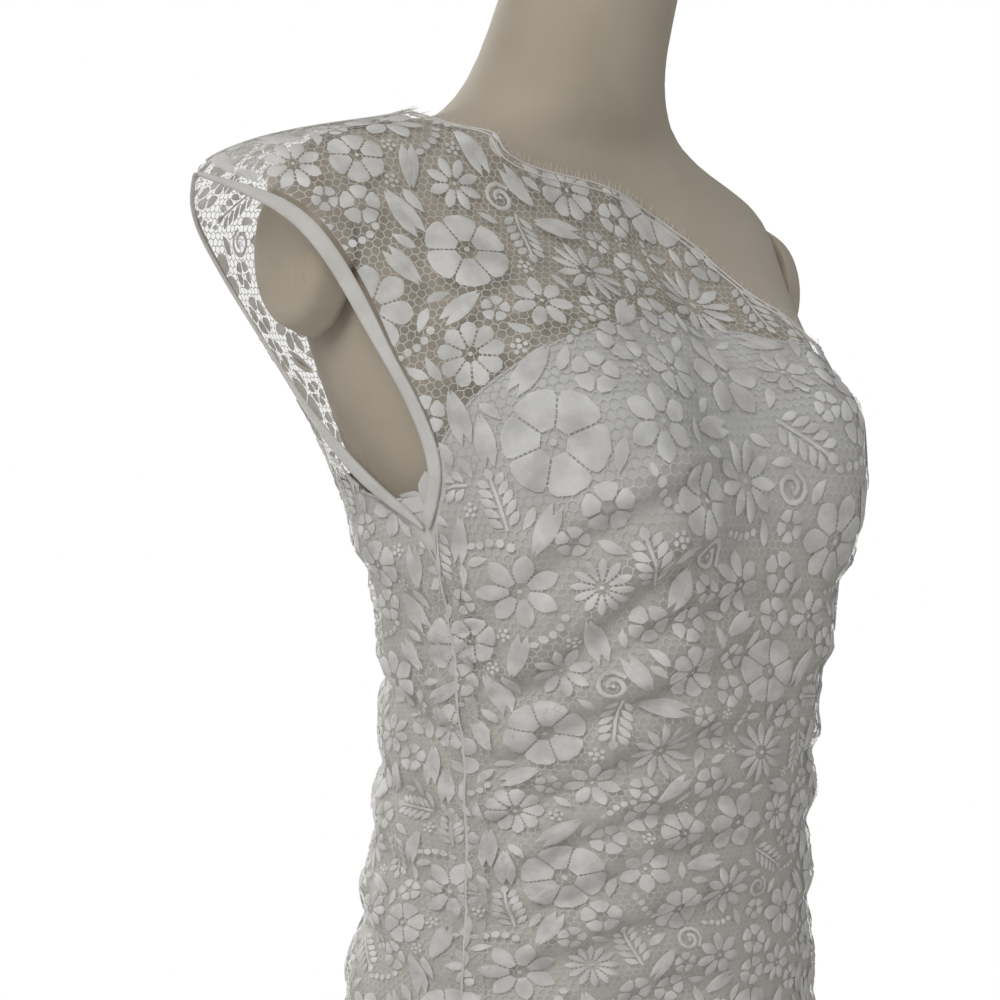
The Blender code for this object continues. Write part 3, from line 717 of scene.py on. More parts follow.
def lace_ground_piece(side, creases):
    shape = outer_skin(f"lace_{side}")
    if side == "front":
        for vertex, place in zip(shape.verts, lowered(np.array([vertex.co for vertex in shape.verts]))):
            vertex.co = place
    evened(shape, EVEN_TIMES)
    yoke = [vertex for vertex in shape.verts if vertex.co.z > YOKE_ABOVE and not vertex.is_boundary]
    for _ in range(YOKE_TIMES):
        bmesh.ops.smooth_vert(shape, verts=yoke, factor=0.5, use_axis_x=True, use_axis_y=True,
                              use_axis_z=True)
    piece = new_piece(f"lace_ground_{side}", shape, lace_ground)
    flat = lay_flat(piece)
    rounded(piece, 2)
    mesh = piece.data
    places, outward = read(mesh), read(mesh, "normal")
    rim = boundary_points(mesh)
    seams = [point for point in rim if PUCKER_LOW - 0.02 < point.z < PUCKER_HIGH + 0.02]
    out = (crease_relief(places, creases, PANEL_START[side]) + fine_folds(places)
           + pucker_relief(places, seams))
    places = kept_off(places + outward * out[:, None], form_surface, LACE_CLEAR)
    write(mesh, drawn_to_form(places) if side == "front" else places)
    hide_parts(f"lace_{side}")
    print(piece.name, "flat size", [round(float(value), 3) for value in flat],
          "triangles", triangle_count(piece))
    return piece, flat


grounds, cuts = {}, {}
for side, creases in (("front", CREASES_FRONT), ("back", CREASES_BACK)):
    grounds[side], cuts[side] = lace_ground_piece(side, creases)

# %% [markdown]
# ## The net
# The net of this lace has six-sided meshes, made 4.4 mm across. A machine twists it from end to end of
# the cloth, so it is drawn once as a tile that repeats. A plain grid turns into bricks when every
# second upright is dissolved, and the bricks turn into hexagons when their corners move up and down.
# A little seeded jitter makes the meshes as uneven as thread leaves them. Bevelling each line gives it
# the width of a thread, and the open middles are then removed.
# The tile repeats as a half drop: each column of tiles starts half a tile higher than the last, so the
# eye finds no rows.

# %% Net tile
PITCH = 0.0044
COLUMNS, ROWS = 53, 68
ROW_STEP = PITCH * math.sqrt(3) / 2
TILE = (COLUMNS * PITCH, ROWS * ROW_STEP)
THREAD_WIDTH = 0.00042
UNEVEN = 0.00040
MARGIN = 4


def home_cell(column, row):
    """The same corner in the first tile of the half drop."""
    steps = column // (2 * COLUMNS)
    return column - 2 * COLUMNS * steps, (row - ROWS // 2 * steps) % ROWS


def net_tile():
    chance = random.Random(5)
    shift = {(column, row): (chance.uniform(-UNEVEN, UNEVEN), chance.uniform(-UNEVEN, UNEVEN))
             for column in range(2 * COLUMNS) for row in range(ROWS)}
    across, up = 2 * (COLUMNS + MARGIN), ROWS + 2 * MARGIN
    shape = bmesh.new()
    bmesh.ops.create_grid(shape, x_segments=across, y_segments=up, size=0.5)
    spot = {}
    for vertex in shape.verts:
        spot[vertex] = (round((vertex.co.x + 0.5) * across) - MARGIN,
                        round((vertex.co.y + 0.5) * up) - MARGIN)
    uprights = [edge for edge in shape.edges if not edge.is_boundary
                and spot[edge.verts[0]][0] == spot[edge.verts[1]][0]
                and (spot[edge.verts[0]][0] + min(spot[end][1] for end in edge.verts)) % 2]
    bmesh.ops.dissolve_edges(shape, edges=uprights, use_verts=False)
    quarter = PITCH / math.sqrt(3) / 4
    for vertex in shape.verts:
        column, row = spot[vertex]
        sway, lift = shift[home_cell(column, row)]
        lift += quarter if (column + row) % 2 == 0 else -quarter
        vertex.co = (column * PITCH / 2 + sway, row * ROW_STEP + lift, 0)
    made = bmesh.ops.bevel(shape, geom=shape.edges[:], offset=THREAD_WIDTH / 2, offset_type="OFFSET",
                           segments=1, profile=0.5, affect="EDGES", material=-1)
    threads = set(made["faces"])
    doomed = []
    for face in shape.faces:
        x, y, _ = face.calc_center_median()
        if face not in threads or not (0 <= x < TILE[0] and 0 <= y < TILE[1]):
            doomed.append(face)
    bmesh.ops.delete(shape, geom=doomed, context="FACES")
    return shape


print("net tile", [round(side * 1000, 1) for side in TILE], "mm")

# %% [markdown]
# ## The flowers
# The lace's pattern is close and lively: open flowers with six to twelve petals, little five-petal
# blossoms with a ring in the middle, fern leaves whose lobes stand in nested chevrons, split leaves,
# scrolls, drops and clusters of dots. Cloth work fills each petal, and a thicker outline thread makes its
# rim stand up. Every petal is the same small grid, given its own outline and rim.

# %% Petals
RIM_RELIEF = 0.00038
THINNEST = 0.00012
# steps across a petal: share of the half width, and height above the net
RIMMED = ((-1, 0), (-0.74, RIM_RELIEF), (0, 0.00012), (0.74, RIM_RELIEF), (1, 0))
RIDGED = ((-1, 0), (0, RIM_RELIEF), (1, 0))
GAP = 0.0011


def heading(turn):
    return Vector((math.cos(turn), math.sin(turn)))


def placed(vertices, place, turn):
    matrix = Matrix.Translation((*place, 0)) @ Matrix.Rotation(turn, 4, "Z")
    for vertex in vertices:
        vertex.co = matrix @ vertex.co


def petal(shape, place, turn, start, length, half_width, rows=5, bend=0.0, across=RIMMED):
    """Petal that points along turn. half_width gives its half width at 0 to 1 of its length."""
    steps = len(across) - 1
    made = bmesh.ops.create_grid(shape, x_segments=steps, y_segments=rows, size=0.5)["verts"]
    for vertex in made:
        t = vertex.co.y + 0.5
        aside, relief = across[round((vertex.co.x + 0.5) * steps)]
        along = 1 - (1 - t) ** 1.35
        vertex.co = (start + along * length, aside * half_width(along) + bend * along * along * length,
                     relief * min(1, 8 * t, 8 * (1 - t)))
    placed(made, place, turn)


def sector(count, start, length, shoulder, blunt=1.0):
    """Half width of one of count petals round a middle, as wide as its neighbours leave room for."""
    def half_width(t):
        room = math.tan(math.pi / count) * (start + t * length) - GAP / 2
        past = max(0.0, (t - shoulder) / (1 - shoulder))
        return max(THINNEST, room * (1 - past ** (1.6 * blunt)) ** (0.75 / blunt))
    return half_width


def almond(widest, half):
    def half_width(t):
        side = t / widest if t < widest else (1 - t) / (1 - widest)
        return max(THINNEST, half * math.sin(math.pi / 2 * side) ** 0.8)
    return half_width


def dot(shape, place, radius, relief=0.0004):
    made = bmesh.ops.create_circle(shape, cap_ends=True, segments=7, radius=radius)["verts"]
    face = made[0].link_faces[0]
    bmesh.ops.inset_region(shape, faces=[face], thickness=radius * 0.4, depth=relief)
    placed(made + [v for v in face.verts if v not in made], place, 0)


def ring(shape, place, radius, width):
    made = bmesh.ops.create_circle(shape, cap_ends=True, segments=14, radius=radius)["verts"]
    face = made[0].link_faces[0]
    bmesh.ops.inset_region(shape, faces=[face], thickness=width / 2, depth=RIM_RELIEF)
    crest = list(face.verts)
    bmesh.ops.inset_region(shape, faces=[face], thickness=width / 2, depth=-RIM_RELIEF)
    placed(made + crest + list(face.verts), place, 0)
    bmesh.ops.delete(shape, geom=[face], context="FACES_ONLY")


print("petal helpers are ready")

# %% Motifs
def open_flower(shape, place, turn, radius, chance):
    """Flower whose petals are held together by tiny bars across the gaps."""
    count = chance.choice((6, 7, 8, 8, 9, 12))
    heart = radius * 0.24
    ring(shape, place, heart * 0.72, 0.0014)
    dot(shape, place, heart * 0.30)
    shoulder, blunt = chance.choice(((0.30, 0.9), (0.45, 1.0), (0.62, 1.2)))
    length = radius - heart
    for k in range(count):
        petal(shape, place, turn + 2 * math.pi * k / count, heart, length,
              sector(count, heart, length, shoulder, blunt), 6 if radius > 0.018 else 5)
        reach = heart + 0.0016
        while reach < heart + length * (shoulder + 0.12):
            bar = bmesh.ops.create_grid(shape, x_segments=1, y_segments=1, size=0.5)["verts"]
            for vertex in bar:
                vertex.co = (reach + vertex.co.x * 0.0005, vertex.co.y * (GAP + 0.0009), 0.00008)
            placed(bar, place, turn + 2 * math.pi * (k + 0.5) / count)
            reach += 0.0023


def blossom(shape, place, turn, radius, chance):
    heart = radius * 0.30
    ring(shape, place, heart * 0.75, 0.0012)
    for k in range(5):
        petal(shape, place, turn + 2 * math.pi * k / 5, heart, radius - heart,
              sector(5, heart, radius - heart, 0.25, 1.5), 4, 0, RIMMED if radius > 0.009 else RIDGED)


def split_leaf(shape, place, turn, radius, chance):
    """Leaf in two halves with an open midrib."""
    length = 2 * radius
    for side in (1, -1):
        away = heading(turn).orthogonal() * side * 0.18 * length / 2
        tail = Vector(place) - heading(turn) * radius + away
        petal(shape, tail, turn, 0, length, almond(0.45, 0.13 * length), 5, -side * 0.06)


def fern(shape, place, turn, radius, chance):
    """Stem with slender lobes in pairs, which read as nested chevrons."""
    ahead = heading(turn)
    tail = Vector(place) - ahead * radius
    pairs = 5
    petal(shape, tail, turn, 0, 2 * radius * 0.96, lambda t: 0.0008, 5, 0, RIDGED)
    for k in range(pairs):
        share = (k + 0.4) / pairs
        lobe = radius * (0.62 - 0.30 * abs(share - 0.35))
        for side in (1, -1):
            foot = tail + ahead * (2 * radius * share * 0.82) + ahead.orthogonal() * side * 0.0016
            petal(shape, foot, turn + side * 0.85, 0, lobe, almond(0.6, 0.0021), 4, 0, RIDGED)
    petal(shape, tail + ahead * radius * 1.62, turn, 0, radius * 0.42, almond(0.5, 0.0024), 4, 0, RIDGED)


def scroll(shape, place, turn, radius, chance):
    """Thick outline thread that winds in."""
    made = bmesh.ops.create_grid(shape, x_segments=2, y_segments=20, size=0.5)["verts"]
    winding = chance.choice((1, -1))
    for vertex in made:
        t = vertex.co.y + 0.5
        step = round((vertex.co.x + 0.5) * 2)
        reach = radius * (0.98 - 0.72 * t) + (step - 1) * 0.0012
        angle = winding * (t ** 0.8) * 2.9 * math.pi
        vertex.co = (reach * math.cos(angle), reach * math.sin(angle), (0, 0.0006, 0)[step])
    placed(made, place, turn)
    dot(shape, place, radius * 0.13)


def drop(shape, place, turn, radius, chance):
    ahead = heading(turn)
    petal(shape, Vector(place) - ahead * radius, turn, 0, 2 * radius, almond(0.62, 0.42 * radius), 4,
          chance.uniform(-0.2, 0.2), RIDGED)


def dot_row(shape, place, turn, radius, chance):
    """Four round dots in a bent row, with a leaf at the end."""
    bend = chance.choice((1, -1)) * 0.35
    for k in range(4):
        along = (k - 2.0) * 0.44 * radius
        across = bend * along * along / radius
        dot(shape, (place[0] + along * math.cos(turn) - across * math.sin(turn),
                    place[1] + along * math.sin(turn) + across * math.cos(turn)), 0.19 * radius)
    ahead = heading(turn)
    petal(shape, Vector(place) + ahead * 0.66 * radius, turn + bend, 0, radius * 0.5,
          almond(0.5, 0.15 * radius), 4, 0, RIDGED)


def dots(shape, place, turn, radius, chance):
    dot(shape, place, radius * 0.30)
    for k in range(5):
        angle = turn + 2 * math.pi * k / 5
        dot(shape, (place[0] + 0.66 * radius * math.cos(angle),
                    place[1] + 0.66 * radius * math.sin(angle)), radius * 0.27)


print("eight kinds of motif are ready")

# %% [markdown]
# ### Scattering the motifs
# Motifs are thrown on the tile in order of size. Each throw that would touch an earlier motif, also
# across the tile's edges, is thrown again. Small ones fill what the large ones leave, which is how this
# kind of all-over lace is drawn too. Long motifs count as a row of circles. Where the net lies right
# under cloth work it doesn't show, so there it is left out.

# %% Scatter
# kind, circles along its length, radius from and to, how many at most, throws, room round it
KINDS = (
    (open_flower, 1, 0.0195, 0.0235, 9, 2500, 0.0002),
    (open_flower, 1, 0.0145, 0.0175, 12, 3000, 0.0002),
    (fern, 3, 0.0150, 0.0175, 6, 1500, 0.0002),
    (scroll, 1, 0.0085, 0.0100, 3, 900, 0.0002),
    (blossom, 1, 0.0098, 0.0118, 13, 3000, 0.0002),
    (split_leaf, 3, 0.0120, 0.0150, 18, 4000, 0.0001),
    (dot_row, 3, 0.0105, 0.0125, 8, 2000, 0.0002),
    (blossom, 1, 0.0070, 0.0088, 16, 3000, 0.0002),
    (drop, 3, 0.0058, 0.0080, 50, 6000, 0.0001),
    (dots, 1, 0.0042, 0.0052, 26, 3000, 0.0001),
)
SLIM = {fern: 0.60, split_leaf: 0.36, dot_row: 0.34, drop: 0.46}
# the tile and its eight neighbours in the half drop
LATTICE = [(n * TILE[0], n * TILE[1] / 2 + m * TILE[1]) for n in (-1, 0, 1) for m in (-1, 0, 1)]


def circles(kind, count, place, turn, radius):
    """Circles that cover a motif."""
    if count == 1:
        return [(place[0], place[1], radius)]
    slim = radius * SLIM[kind]
    return [(place[0] + math.cos(turn) * offset * (radius - slim),
             place[1] + math.sin(turn) * offset * (radius - slim), slim) for offset in (-1, 0, 1)]


def touches(candidate, taken, room):
    """Whether any circle of candidate comes within room of a taken one, in any tile."""
    return any(math.hypot(x - other_x - over, y - other_y - up) < radius + other_radius + room
               for x, y, radius in candidate for other_x, other_y, other_radius in taken
               for over, up in LATTICE)


def motif_tile():
    chance = random.Random(7)
    shape, taken, tally = bmesh.new(), [], {}
    for kind, count, low, high, most, throws, room in KINDS:
        thrown = 0
        for _ in range(throws):
            place = (chance.uniform(0, TILE[0]), chance.uniform(0, TILE[1]))
            turn, radius = chance.uniform(0, 2 * math.pi), chance.uniform(low, high)
            candidate = circles(kind, count, place, turn, radius)
            if touches(candidate, taken, room):
                continue
            taken += candidate
            kind(shape, place, turn, radius, chance)
            thrown += 1
            if thrown == most:
                break
        tally[f"{kind.__name__} {low * 1000:.0f} mm"] = thrown
    return shape, tally


def tile_mesh(name, shape):
    mesh = bpy.data.meshes.new(name)
    shape.to_mesh(mesh)
    shape.free()
    return mesh


def net_without(motifs):
    """The net tile, less what lies under the motifs of this tile and its neighbours."""
    shape = net_tile()
    tree = surface_of(motifs)
    hidden = []
    for face in shape.faces:
        x, y, _ = face.calc_center_median()
        if any(tree.ray_cast(Vector((x + over, y + up, -1)), Vector((0, 0, 1)))[0]
               for over, up in LATTICE):
            hidden.append(face)
    share = len(hidden) / len(shape.faces)
    bmesh.ops.delete(shape, geom=hidden, context="FACES")
    return tile_mesh("net_tile", shape), share


motif_shape, tally = motif_tile()
motif_mesh = tile_mesh("motif_tile", motif_shape)
net_mesh, covered = net_without(motif_mesh)
print(tally)
print("motif faces", len(motif_mesh.polygons), "net faces", len(net_mesh.polygons),
      "share of the net under cloth work", round(covered, 2))

# %% [markdown]
# ## Laying the lace on the gown
# Two arrays repeat the tile over the whole flat panel. Each point then goes from its place on the flat
# cloth to the same place on the gathered one: the triangle of the layout that holds it says where it
# lies, and that triangle's normals say which way is out. What falls past the panel's edge is cut off.

# %% From flat to gathered
NET_HEIGHT, FLOWER_HEIGHT = 0.0001, 0.0003
ON_PANEL = 1e-5
ASIDE = 0.001
END_ROOM = 0.01


class Cloth:
    """A ground's flat layout and its place in space."""

    def __init__(self, ground):
        mesh = ground.data
        self.uv = vertex_uv(mesh)
        self.places = read(mesh)
        self.outward = read(mesh, "normal")
        self.triangles = triangles_of(mesh)
        flat = np.c_[self.uv, np.zeros(len(self.uv))]
        self.tree = BVHTree.FromPolygons(flat.tolist(), self.triangles.tolist())
        self.low, self.high = self.uv.min(axis=0), self.uv.max(axis=0)

    def lay(self, points, lift):
        """Points (u, v, height) in space, and which of them lie past the panel's edge."""
        which = np.empty(len(points), int)
        found = np.empty((len(points), 2))
        beyond = np.empty(len(points), bool)
        for k, (u, v, _) in enumerate(points.tolist()):
            near, _, index, distance = self.tree.find_nearest((u, v, 0))
            which[k], found[k], beyond[k] = index, near[:2], distance > ON_PANEL
        a, b, c = (self.triangles[which, k] for k in range(3))
        first, second = self.uv[b] - self.uv[a], self.uv[c] - self.uv[a]
        offset = found - self.uv[a]
        whole = np.cross(first, second)
        share_b = np.cross(offset, second) / whole
        share_c = np.cross(first, offset) / whole
        shares = np.stack([1 - share_b - share_c, share_b, share_c], axis=1)[:, :, None]
        place = (shares * np.stack([self.places[a], self.places[b], self.places[c]], axis=1)).sum(axis=1)
        out = (shares * np.stack([self.outward[a], self.outward[b], self.outward[c]], axis=1)).sum(axis=1)
        out /= np.linalg.norm(out, axis=1)[:, None]
        return place + out * (points[:, 2] + lift)[:, None], beyond


def repeated(name, tile, low, high):
    """Copies of the tile over a rectangle of cloth, as a mesh."""
    width, height = TILE
    columns = math.ceil((high[0] - low[0]) / width) + 2
    rows = math.ceil((high[1] - low[1]) / height) + 2 + math.ceil(columns / 2)

    def arrays(carrier):
        for label, count, offset in (("columns", columns, (width, height / 2, 0)),
                                     ("rows", rows, (0, height, 0))):
            array = carrier.modifiers.new(label, "ARRAY")
            array.count = count
            array.use_relative_offset = False
            array.use_constant_offset = True
            array.constant_offset_displace = offset

    mesh = made_mesh(name, tile.copy(), arrays)
    flat = read(mesh)
    flat[:, :2] += (low[0] - width, low[1] - height * (1 + math.ceil(columns / 2)))
    write(mesh, flat)
    return mesh


def trimmed(mesh, doomed):
    """Mesh without the faces whose every vertex is doomed."""
    shape = bmesh.new()
    shape.from_mesh(mesh)
    shape.verts.ensure_lookup_table()
    gone = [face for face in shape.faces if all(doomed[vertex.index] for vertex in face.verts)]
    bmesh.ops.delete(shape, geom=gone, context="FACES")
    bmesh.ops.delete(shape, geom=[vertex for vertex in shape.verts if not vertex.link_faces],
                     context="VERTS")
    shape.to_mesh(mesh)
    shape.free()
    return mesh


def laid_piece(name, tile, cloth, low_v, high_v, lift, finish):
    """The tile's pattern on a cloth, between two heights of the layout."""
    low = np.array([cloth.low[0], low_v])
    high = np.array([cloth.high[0], high_v])
    mesh = repeated(name, tile, low, high)
    flat = read(mesh)
    outside = ((flat[:, 0] < low[0] - ASIDE) | (flat[:, 0] > high[0] + ASIDE)
               | (flat[:, 1] < low[1]) | (flat[:, 1] > high[1]))
    trimmed(mesh, outside)
    flat = read(mesh)
    places, beyond = cloth.lay(flat, lift)
    mesh.uv_layers.new(name="cloth")
    write_uv(mesh, flat[:, :2])
    write(mesh, places)
    trimmed(mesh, beyond)
    return new_piece(name, mesh, finish)


clothes = {side: Cloth(ground) for side, ground in grounds.items()}
print({side: [round(float(value), 3) for value in (*cloth.low, *cloth.high)]
       for side, cloth in clothes.items()})

# %% Net and flowers
lace_pieces = {"front": [], "back": []}
for side, cloth in clothes.items():
    halfway = (cloth.low[1] + cloth.high[1]) / 2
    for part, low_v, high_v in (("lower", cloth.low[1] - END_ROOM, halfway),
                                ("upper", halfway, cloth.high[1] + END_ROOM)):
        for kind, tile, lift, finish in (("net", net_mesh, NET_HEIGHT, net_thread),
                                         ("flowers", motif_mesh, FLOWER_HEIGHT, flower_cloth)):
            made = laid_piece(f"lace_{kind}_{side}_{part}", tile, cloth, low_v, high_v, lift, finish)
            lace_pieces[side].append(made)
            print(made.name, "triangles", triangle_count(made))

# %% [markdown]
# ## The lining
# Under the lace hangs a strapless lining that starts above the bust. It is one opaque sheet for each
# panel. It is gathered with the lace, so it follows the lace's folds about a millimetre inside them, and
# the form stops it where it would sink in. Its top edge is turned under and stitched, which shows
# through the lace as a fine roll.

# %% Lining panels
LINING_GAP = (0.0009, 0.0014)
LINING_CLEAR = 0.0006
PULL_REACH = 0.012


def drawn_to(places, surface, least, most):
    """Places moved until they lie between least and most inside a surface. Past its rim the pull fades."""
    def step(place, height, distance):
        aside = math.sqrt(max(0.0, distance * distance - height * height))
        pull = max(0.0, 1 - aside / PULL_REACH)
        return pull * (-height - min(max(-height, least), most))
    return moved_out(places, surface, step)


lace_surfaces = {side: surface_of(ground.data) for side, ground in grounds.items()}


def lining_piece(side):
    piece = new_piece(f"lining_cloth_{side}", outer_skin(f"lining_{side}"), lining_crepe)
    flat = lay_flat(piece, 0)
    rounded(piece, 3)
    places = drawn_to(read(piece.data), lace_surfaces[side], *LINING_GAP)
    write(piece.data, kept_off(places, form_surface, LINING_CLEAR))
    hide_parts(f"lining_{side}")
    print(piece.name, "flat size", [round(float(value), 3) for value in flat],
          "triangles", triangle_count(piece))
    return piece, flat


linings, lining_cuts = {}, {}
for side in ("front", "back"):
    linings[side], lining_cuts[side] = lining_piece(side)

# %% [markdown]
# ## Lines along the edges
# Edges and seams follow the rims of the cloth. A rim is a loop of open edges, and parts of it are told
# apart by what they lie near: the neck edge, an armhole binding, the floor, or the other panel, which
# makes it a seam. Each part becomes a path with its own ways out of and into the cloth, and cords,
# stitches and lashes follow it.

# %% Rim paths
NEAR = 0.009
HEM_BELOW = 0.10
PROBE = 0.01
SHORTEST = 6


class Path:
    """A line along a rim: places, the ways out of the cloth, and the ways into the panel."""

    def __init__(self, vertices, surface):
        self.places = np.array([vertex.co for vertex in vertices])
        self.outward = np.array([vertex.normal for vertex in vertices])
        ahead = np.gradient(self.places, axis=0)
        inward = np.cross(self.outward, ahead)
        inward /= np.linalg.norm(inward, axis=1)[:, None]
        probe = self.places[len(self.places) // 2], inward[len(inward) // 2]
        apart = [surface.find_nearest(Vector(probe[0] + way * PROBE * probe[1]))[3] for way in (1, -1)]
        self.inward = inward if apart[0] < apart[1] else -inward

    def moved(self, inward=0.0, outward=0.0):
        return self.places + inward * self.inward + outward * self.outward

    def every(self, step, inward=0.0, outward=0.0):
        """Places along the path at equal steps, each with its ways out and in."""
        line = self.moved(inward, outward)
        run = np.r_[0, np.cumsum(np.linalg.norm(np.diff(line, axis=0), axis=1))]
        stops = np.linspace(0, run[-1], max(2, round(run[-1] / step) + 1))
        return [np.stack([np.interp(stops, run, field[:, k]) for k in range(3)], axis=1)
                for field in (line, self.outward, self.inward)]


def rim_kind(point, surfaces, otherwise):
    if point.z < HEM_BELOW:
        return "hem"
    for kind, surface in surfaces.items():
        if surface.find_nearest(point)[3] < NEAR:
            return kind
    return otherwise


def rim_loops(shape):
    """The vertices of each loop of open edges, in order. A loop starts at its first edge in the mesh.

    The edges wait in a dictionary, because it keeps their order, so that every run gives the same."""
    waiting = dict.fromkeys(edge for edge in shape.edges if edge.is_boundary)
    while waiting:
        edge = next(iter(waiting))
        del waiting[edge]
        loop = list(edge.verts)
        while True:
            step = next((e for e in loop[-1].link_edges if e in waiting), None)
            if step is None:
                break
            del waiting[step]
            loop.append(step.other_vert(loop[-1]))
        yield loop[:-1] if loop[0] == loop[-1] else loop


def rim_paths(piece, surfaces, otherwise="seam"):
    """The piece's rim as paths, by kind."""
    shape = bmesh.new()
    shape.from_mesh(piece.data)
    shape.normal_update()
    own = surface_of(piece.data)
    paths = {}
    loop = max(rim_loops(shape), key=len)
    kinds = [rim_kind(vertex.co, surfaces, otherwise) for vertex in loop]
    turn = next((k for k in range(len(loop)) if kinds[k] != kinds[k - 1]), 0)
    loop, kinds = loop[turn:] + loop[:turn], kinds[turn:] + kinds[:turn]
    start = 0
    for k in range(1, len(loop) + 1):
        if k == len(loop) or kinds[k] != kinds[start]:
            if k - start > SHORTEST:
                paths.setdefault(kinds[start], []).append(Path(loop[start:min(k + 1, len(loop))], own))
            start = k
    shape.free()
    return paths


edge_surfaces = {kind: surface_of(frame["nodes"][node].data, change) for kind, node, change in
                 (("armhole_front", "armhole_binding_front", None),
                  ("armhole_back", "armhole_binding_back", None),
                  ("neck_front", "neck_edge_front", lowered), ("neck_back", "neck_edge_back", None))}
lining_surfaces = {side: surface_of(lining.data) for side, lining in linings.items()}
rims = {side: rim_paths(ground, edge_surfaces) for side, ground in grounds.items()}
lining_rims = {"front": rim_paths(linings["front"], {"seam": lining_surfaces["back"]}, "top"),
               "back": rim_paths(linings["back"], {"seam": lining_surfaces["front"]}, "top")}
for label, found in (("lace", rims), ("lining", lining_rims)):
    for side, paths in found.items():
        print(label, side, {kind: [[round(float(c), 2) for c in (*path.places[0], *path.places[-1])]
                                   for path in parts] for kind, parts in paths.items()})

# %% [markdown]
# ### Cords, ribbons and lashes
# A cord is a curve with a round section. A ribbon is a narrow grid laid along a path. The neckline ends
# in two fine cords with a fringe of lashes: the loose thread ends that this lace keeps along its selvedge,
# about 5 mm long, each bent a little its own way.

# %% Helpers for edges
RIBBON_STEP = 0.004
LASH_STEP = 0.0021
LASH_LENGTH = (0.0036, 0.0064)
LASH_ROOT = 0.0004
# where a lash bends, as shares of its length, and its thickness from root to tip
LASH_BENDS, LASH_TAPER = (0.4, 0.75, 1.0), (1.0, 0.8, 0.55, 0.25)


def cords(name, lines, radius, finish, sides=1):
    """Round cords along lines. A line is places, or places and the share of the radius at each."""
    curve = bpy.data.curves.new(name, "CURVE")
    curve.dimensions = "3D"
    curve.bevel_depth = radius
    curve.bevel_resolution = sides
    curve.use_fill_caps = True
    for line in lines:
        places, shares = line if isinstance(line, tuple) else (line, np.ones(len(line)))
        spline = curve.splines.new("POLY")
        spline.points.add(len(places) - 1)
        spline.points.foreach_set("co", np.c_[places, np.ones(len(places))].ravel())
        spline.points.foreach_set("radius", shares)
    return new_piece(name, made_mesh(name, curve), finish)


def ribbon(name, path, width, lift, finish, start=0.0):
    """Flat band inside a rim, from start to start + width into the panel."""
    places, outward, inward = path.every(RIBBON_STEP)
    shape = bmesh.new()
    bmesh.ops.create_grid(shape, x_segments=3, y_segments=len(places) - 1, size=0.5)
    for vertex in shape.verts:
        k = round((vertex.co.y + 0.5) * (len(places) - 1))
        reach = start + (vertex.co.x + 0.5) * width
        vertex.co = places[k] + inward[k] * reach + outward[k] * lift
    return new_piece(name, shape, finish)


def lashes(path, chance):
    """Tapered lines that stand out from a rim."""
    places, outward, inward = path.every(LASH_STEP)
    ahead = np.gradient(places, axis=0)
    ahead /= np.linalg.norm(ahead, axis=1)[:, None]
    lines = []
    for k in range(len(places)):
        reach, lean = chance.uniform(*LASH_LENGTH), chance.uniform(-0.45, 0.45)
        lift, curl = chance.uniform(-0.1, 0.35), chance.uniform(-0.3, 0.3)
        way = -inward[k] + lean * ahead[k] + lift * outward[k]
        steps = [places[k] + inward[k] * LASH_ROOT]
        for share in LASH_BENDS:
            steps.append(places[k] + reach * (share * way + curl * share * share * ahead[k]))
        lines.append((np.array(steps), np.array(LASH_TAPER)))
    return lines


print("edge helpers are ready")

# %% Neck edge
NECK_CORD, NECK_CORD_RISE = 0.00055, 0.0006
NECK_CORDS_IN = (0.0004, 0.0042)
LASH = 0.00020
chance = random.Random(11)
edge_pieces = {"front": [], "back": []}
for side, paths in rims.items():
    neck = [path for kind, parts in paths.items() if kind.startswith("neck") for path in parts]
    lines = [path.moved(inward, NECK_CORD_RISE) for path in neck for inward in NECK_CORDS_IN]
    edge_pieces[side].append(cords(f"neck_cords_{side}", lines, NECK_CORD, edge_thread))
    fringe = [line for path in neck for line in lashes(path, chance)]
    edge_pieces[side].append(cords(f"neck_lashes_{side}", fringe, LASH, edge_thread, 0))
    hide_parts(f"neck_edge_{side}")
    print(side, len(neck), "neck paths,", len(fringe), "lashes,",
          sum(triangle_count(piece) for piece in edge_pieces[side]), "triangles")

# %% [markdown]
# ## Bindings, seams and hem
# A folded strip of cloth binds the armhole, which keeps the raw lace from fraying. The panels meet at
# the sides and along the top of the cap in narrow seams. Their allowances lie flat inside, so the lace
# looks closer and lighter there. The hem ends in the lace's own corded edge.

# %% Bindings
SHARP, SHARPNESS = 0.9, 0.85
NEARLY_FLAT, NEARLY_SQUARE = 0.35, 1.6


def smooth_copy(name, node, levels, finish):
    """A node's shape, rounded, with its sharp edges kept."""
    shape = merged(node)
    bmesh.ops.join_triangles(shape, faces=shape.faces, angle_face_threshold=NEARLY_FLAT,
                             angle_shape_threshold=NEARLY_SQUARE)
    crease = shape.edges.layers.float.new("crease_edge")
    for edge in shape.edges:
        if len(edge.link_faces) == 2 and edge.calc_face_angle() > SHARP:
            edge[crease] = SHARPNESS
    piece = rounded(new_piece(name, shape, finish), levels)
    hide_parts(node)
    return piece


for side in ("front", "back"):
    node = f"armhole_binding_{side}"
    edge_pieces[side].append(smooth_copy(f"binding_{side}", node, 2, binding_cloth))
print("bindings:", [edge_pieces[side][-1].name for side in edge_pieces])

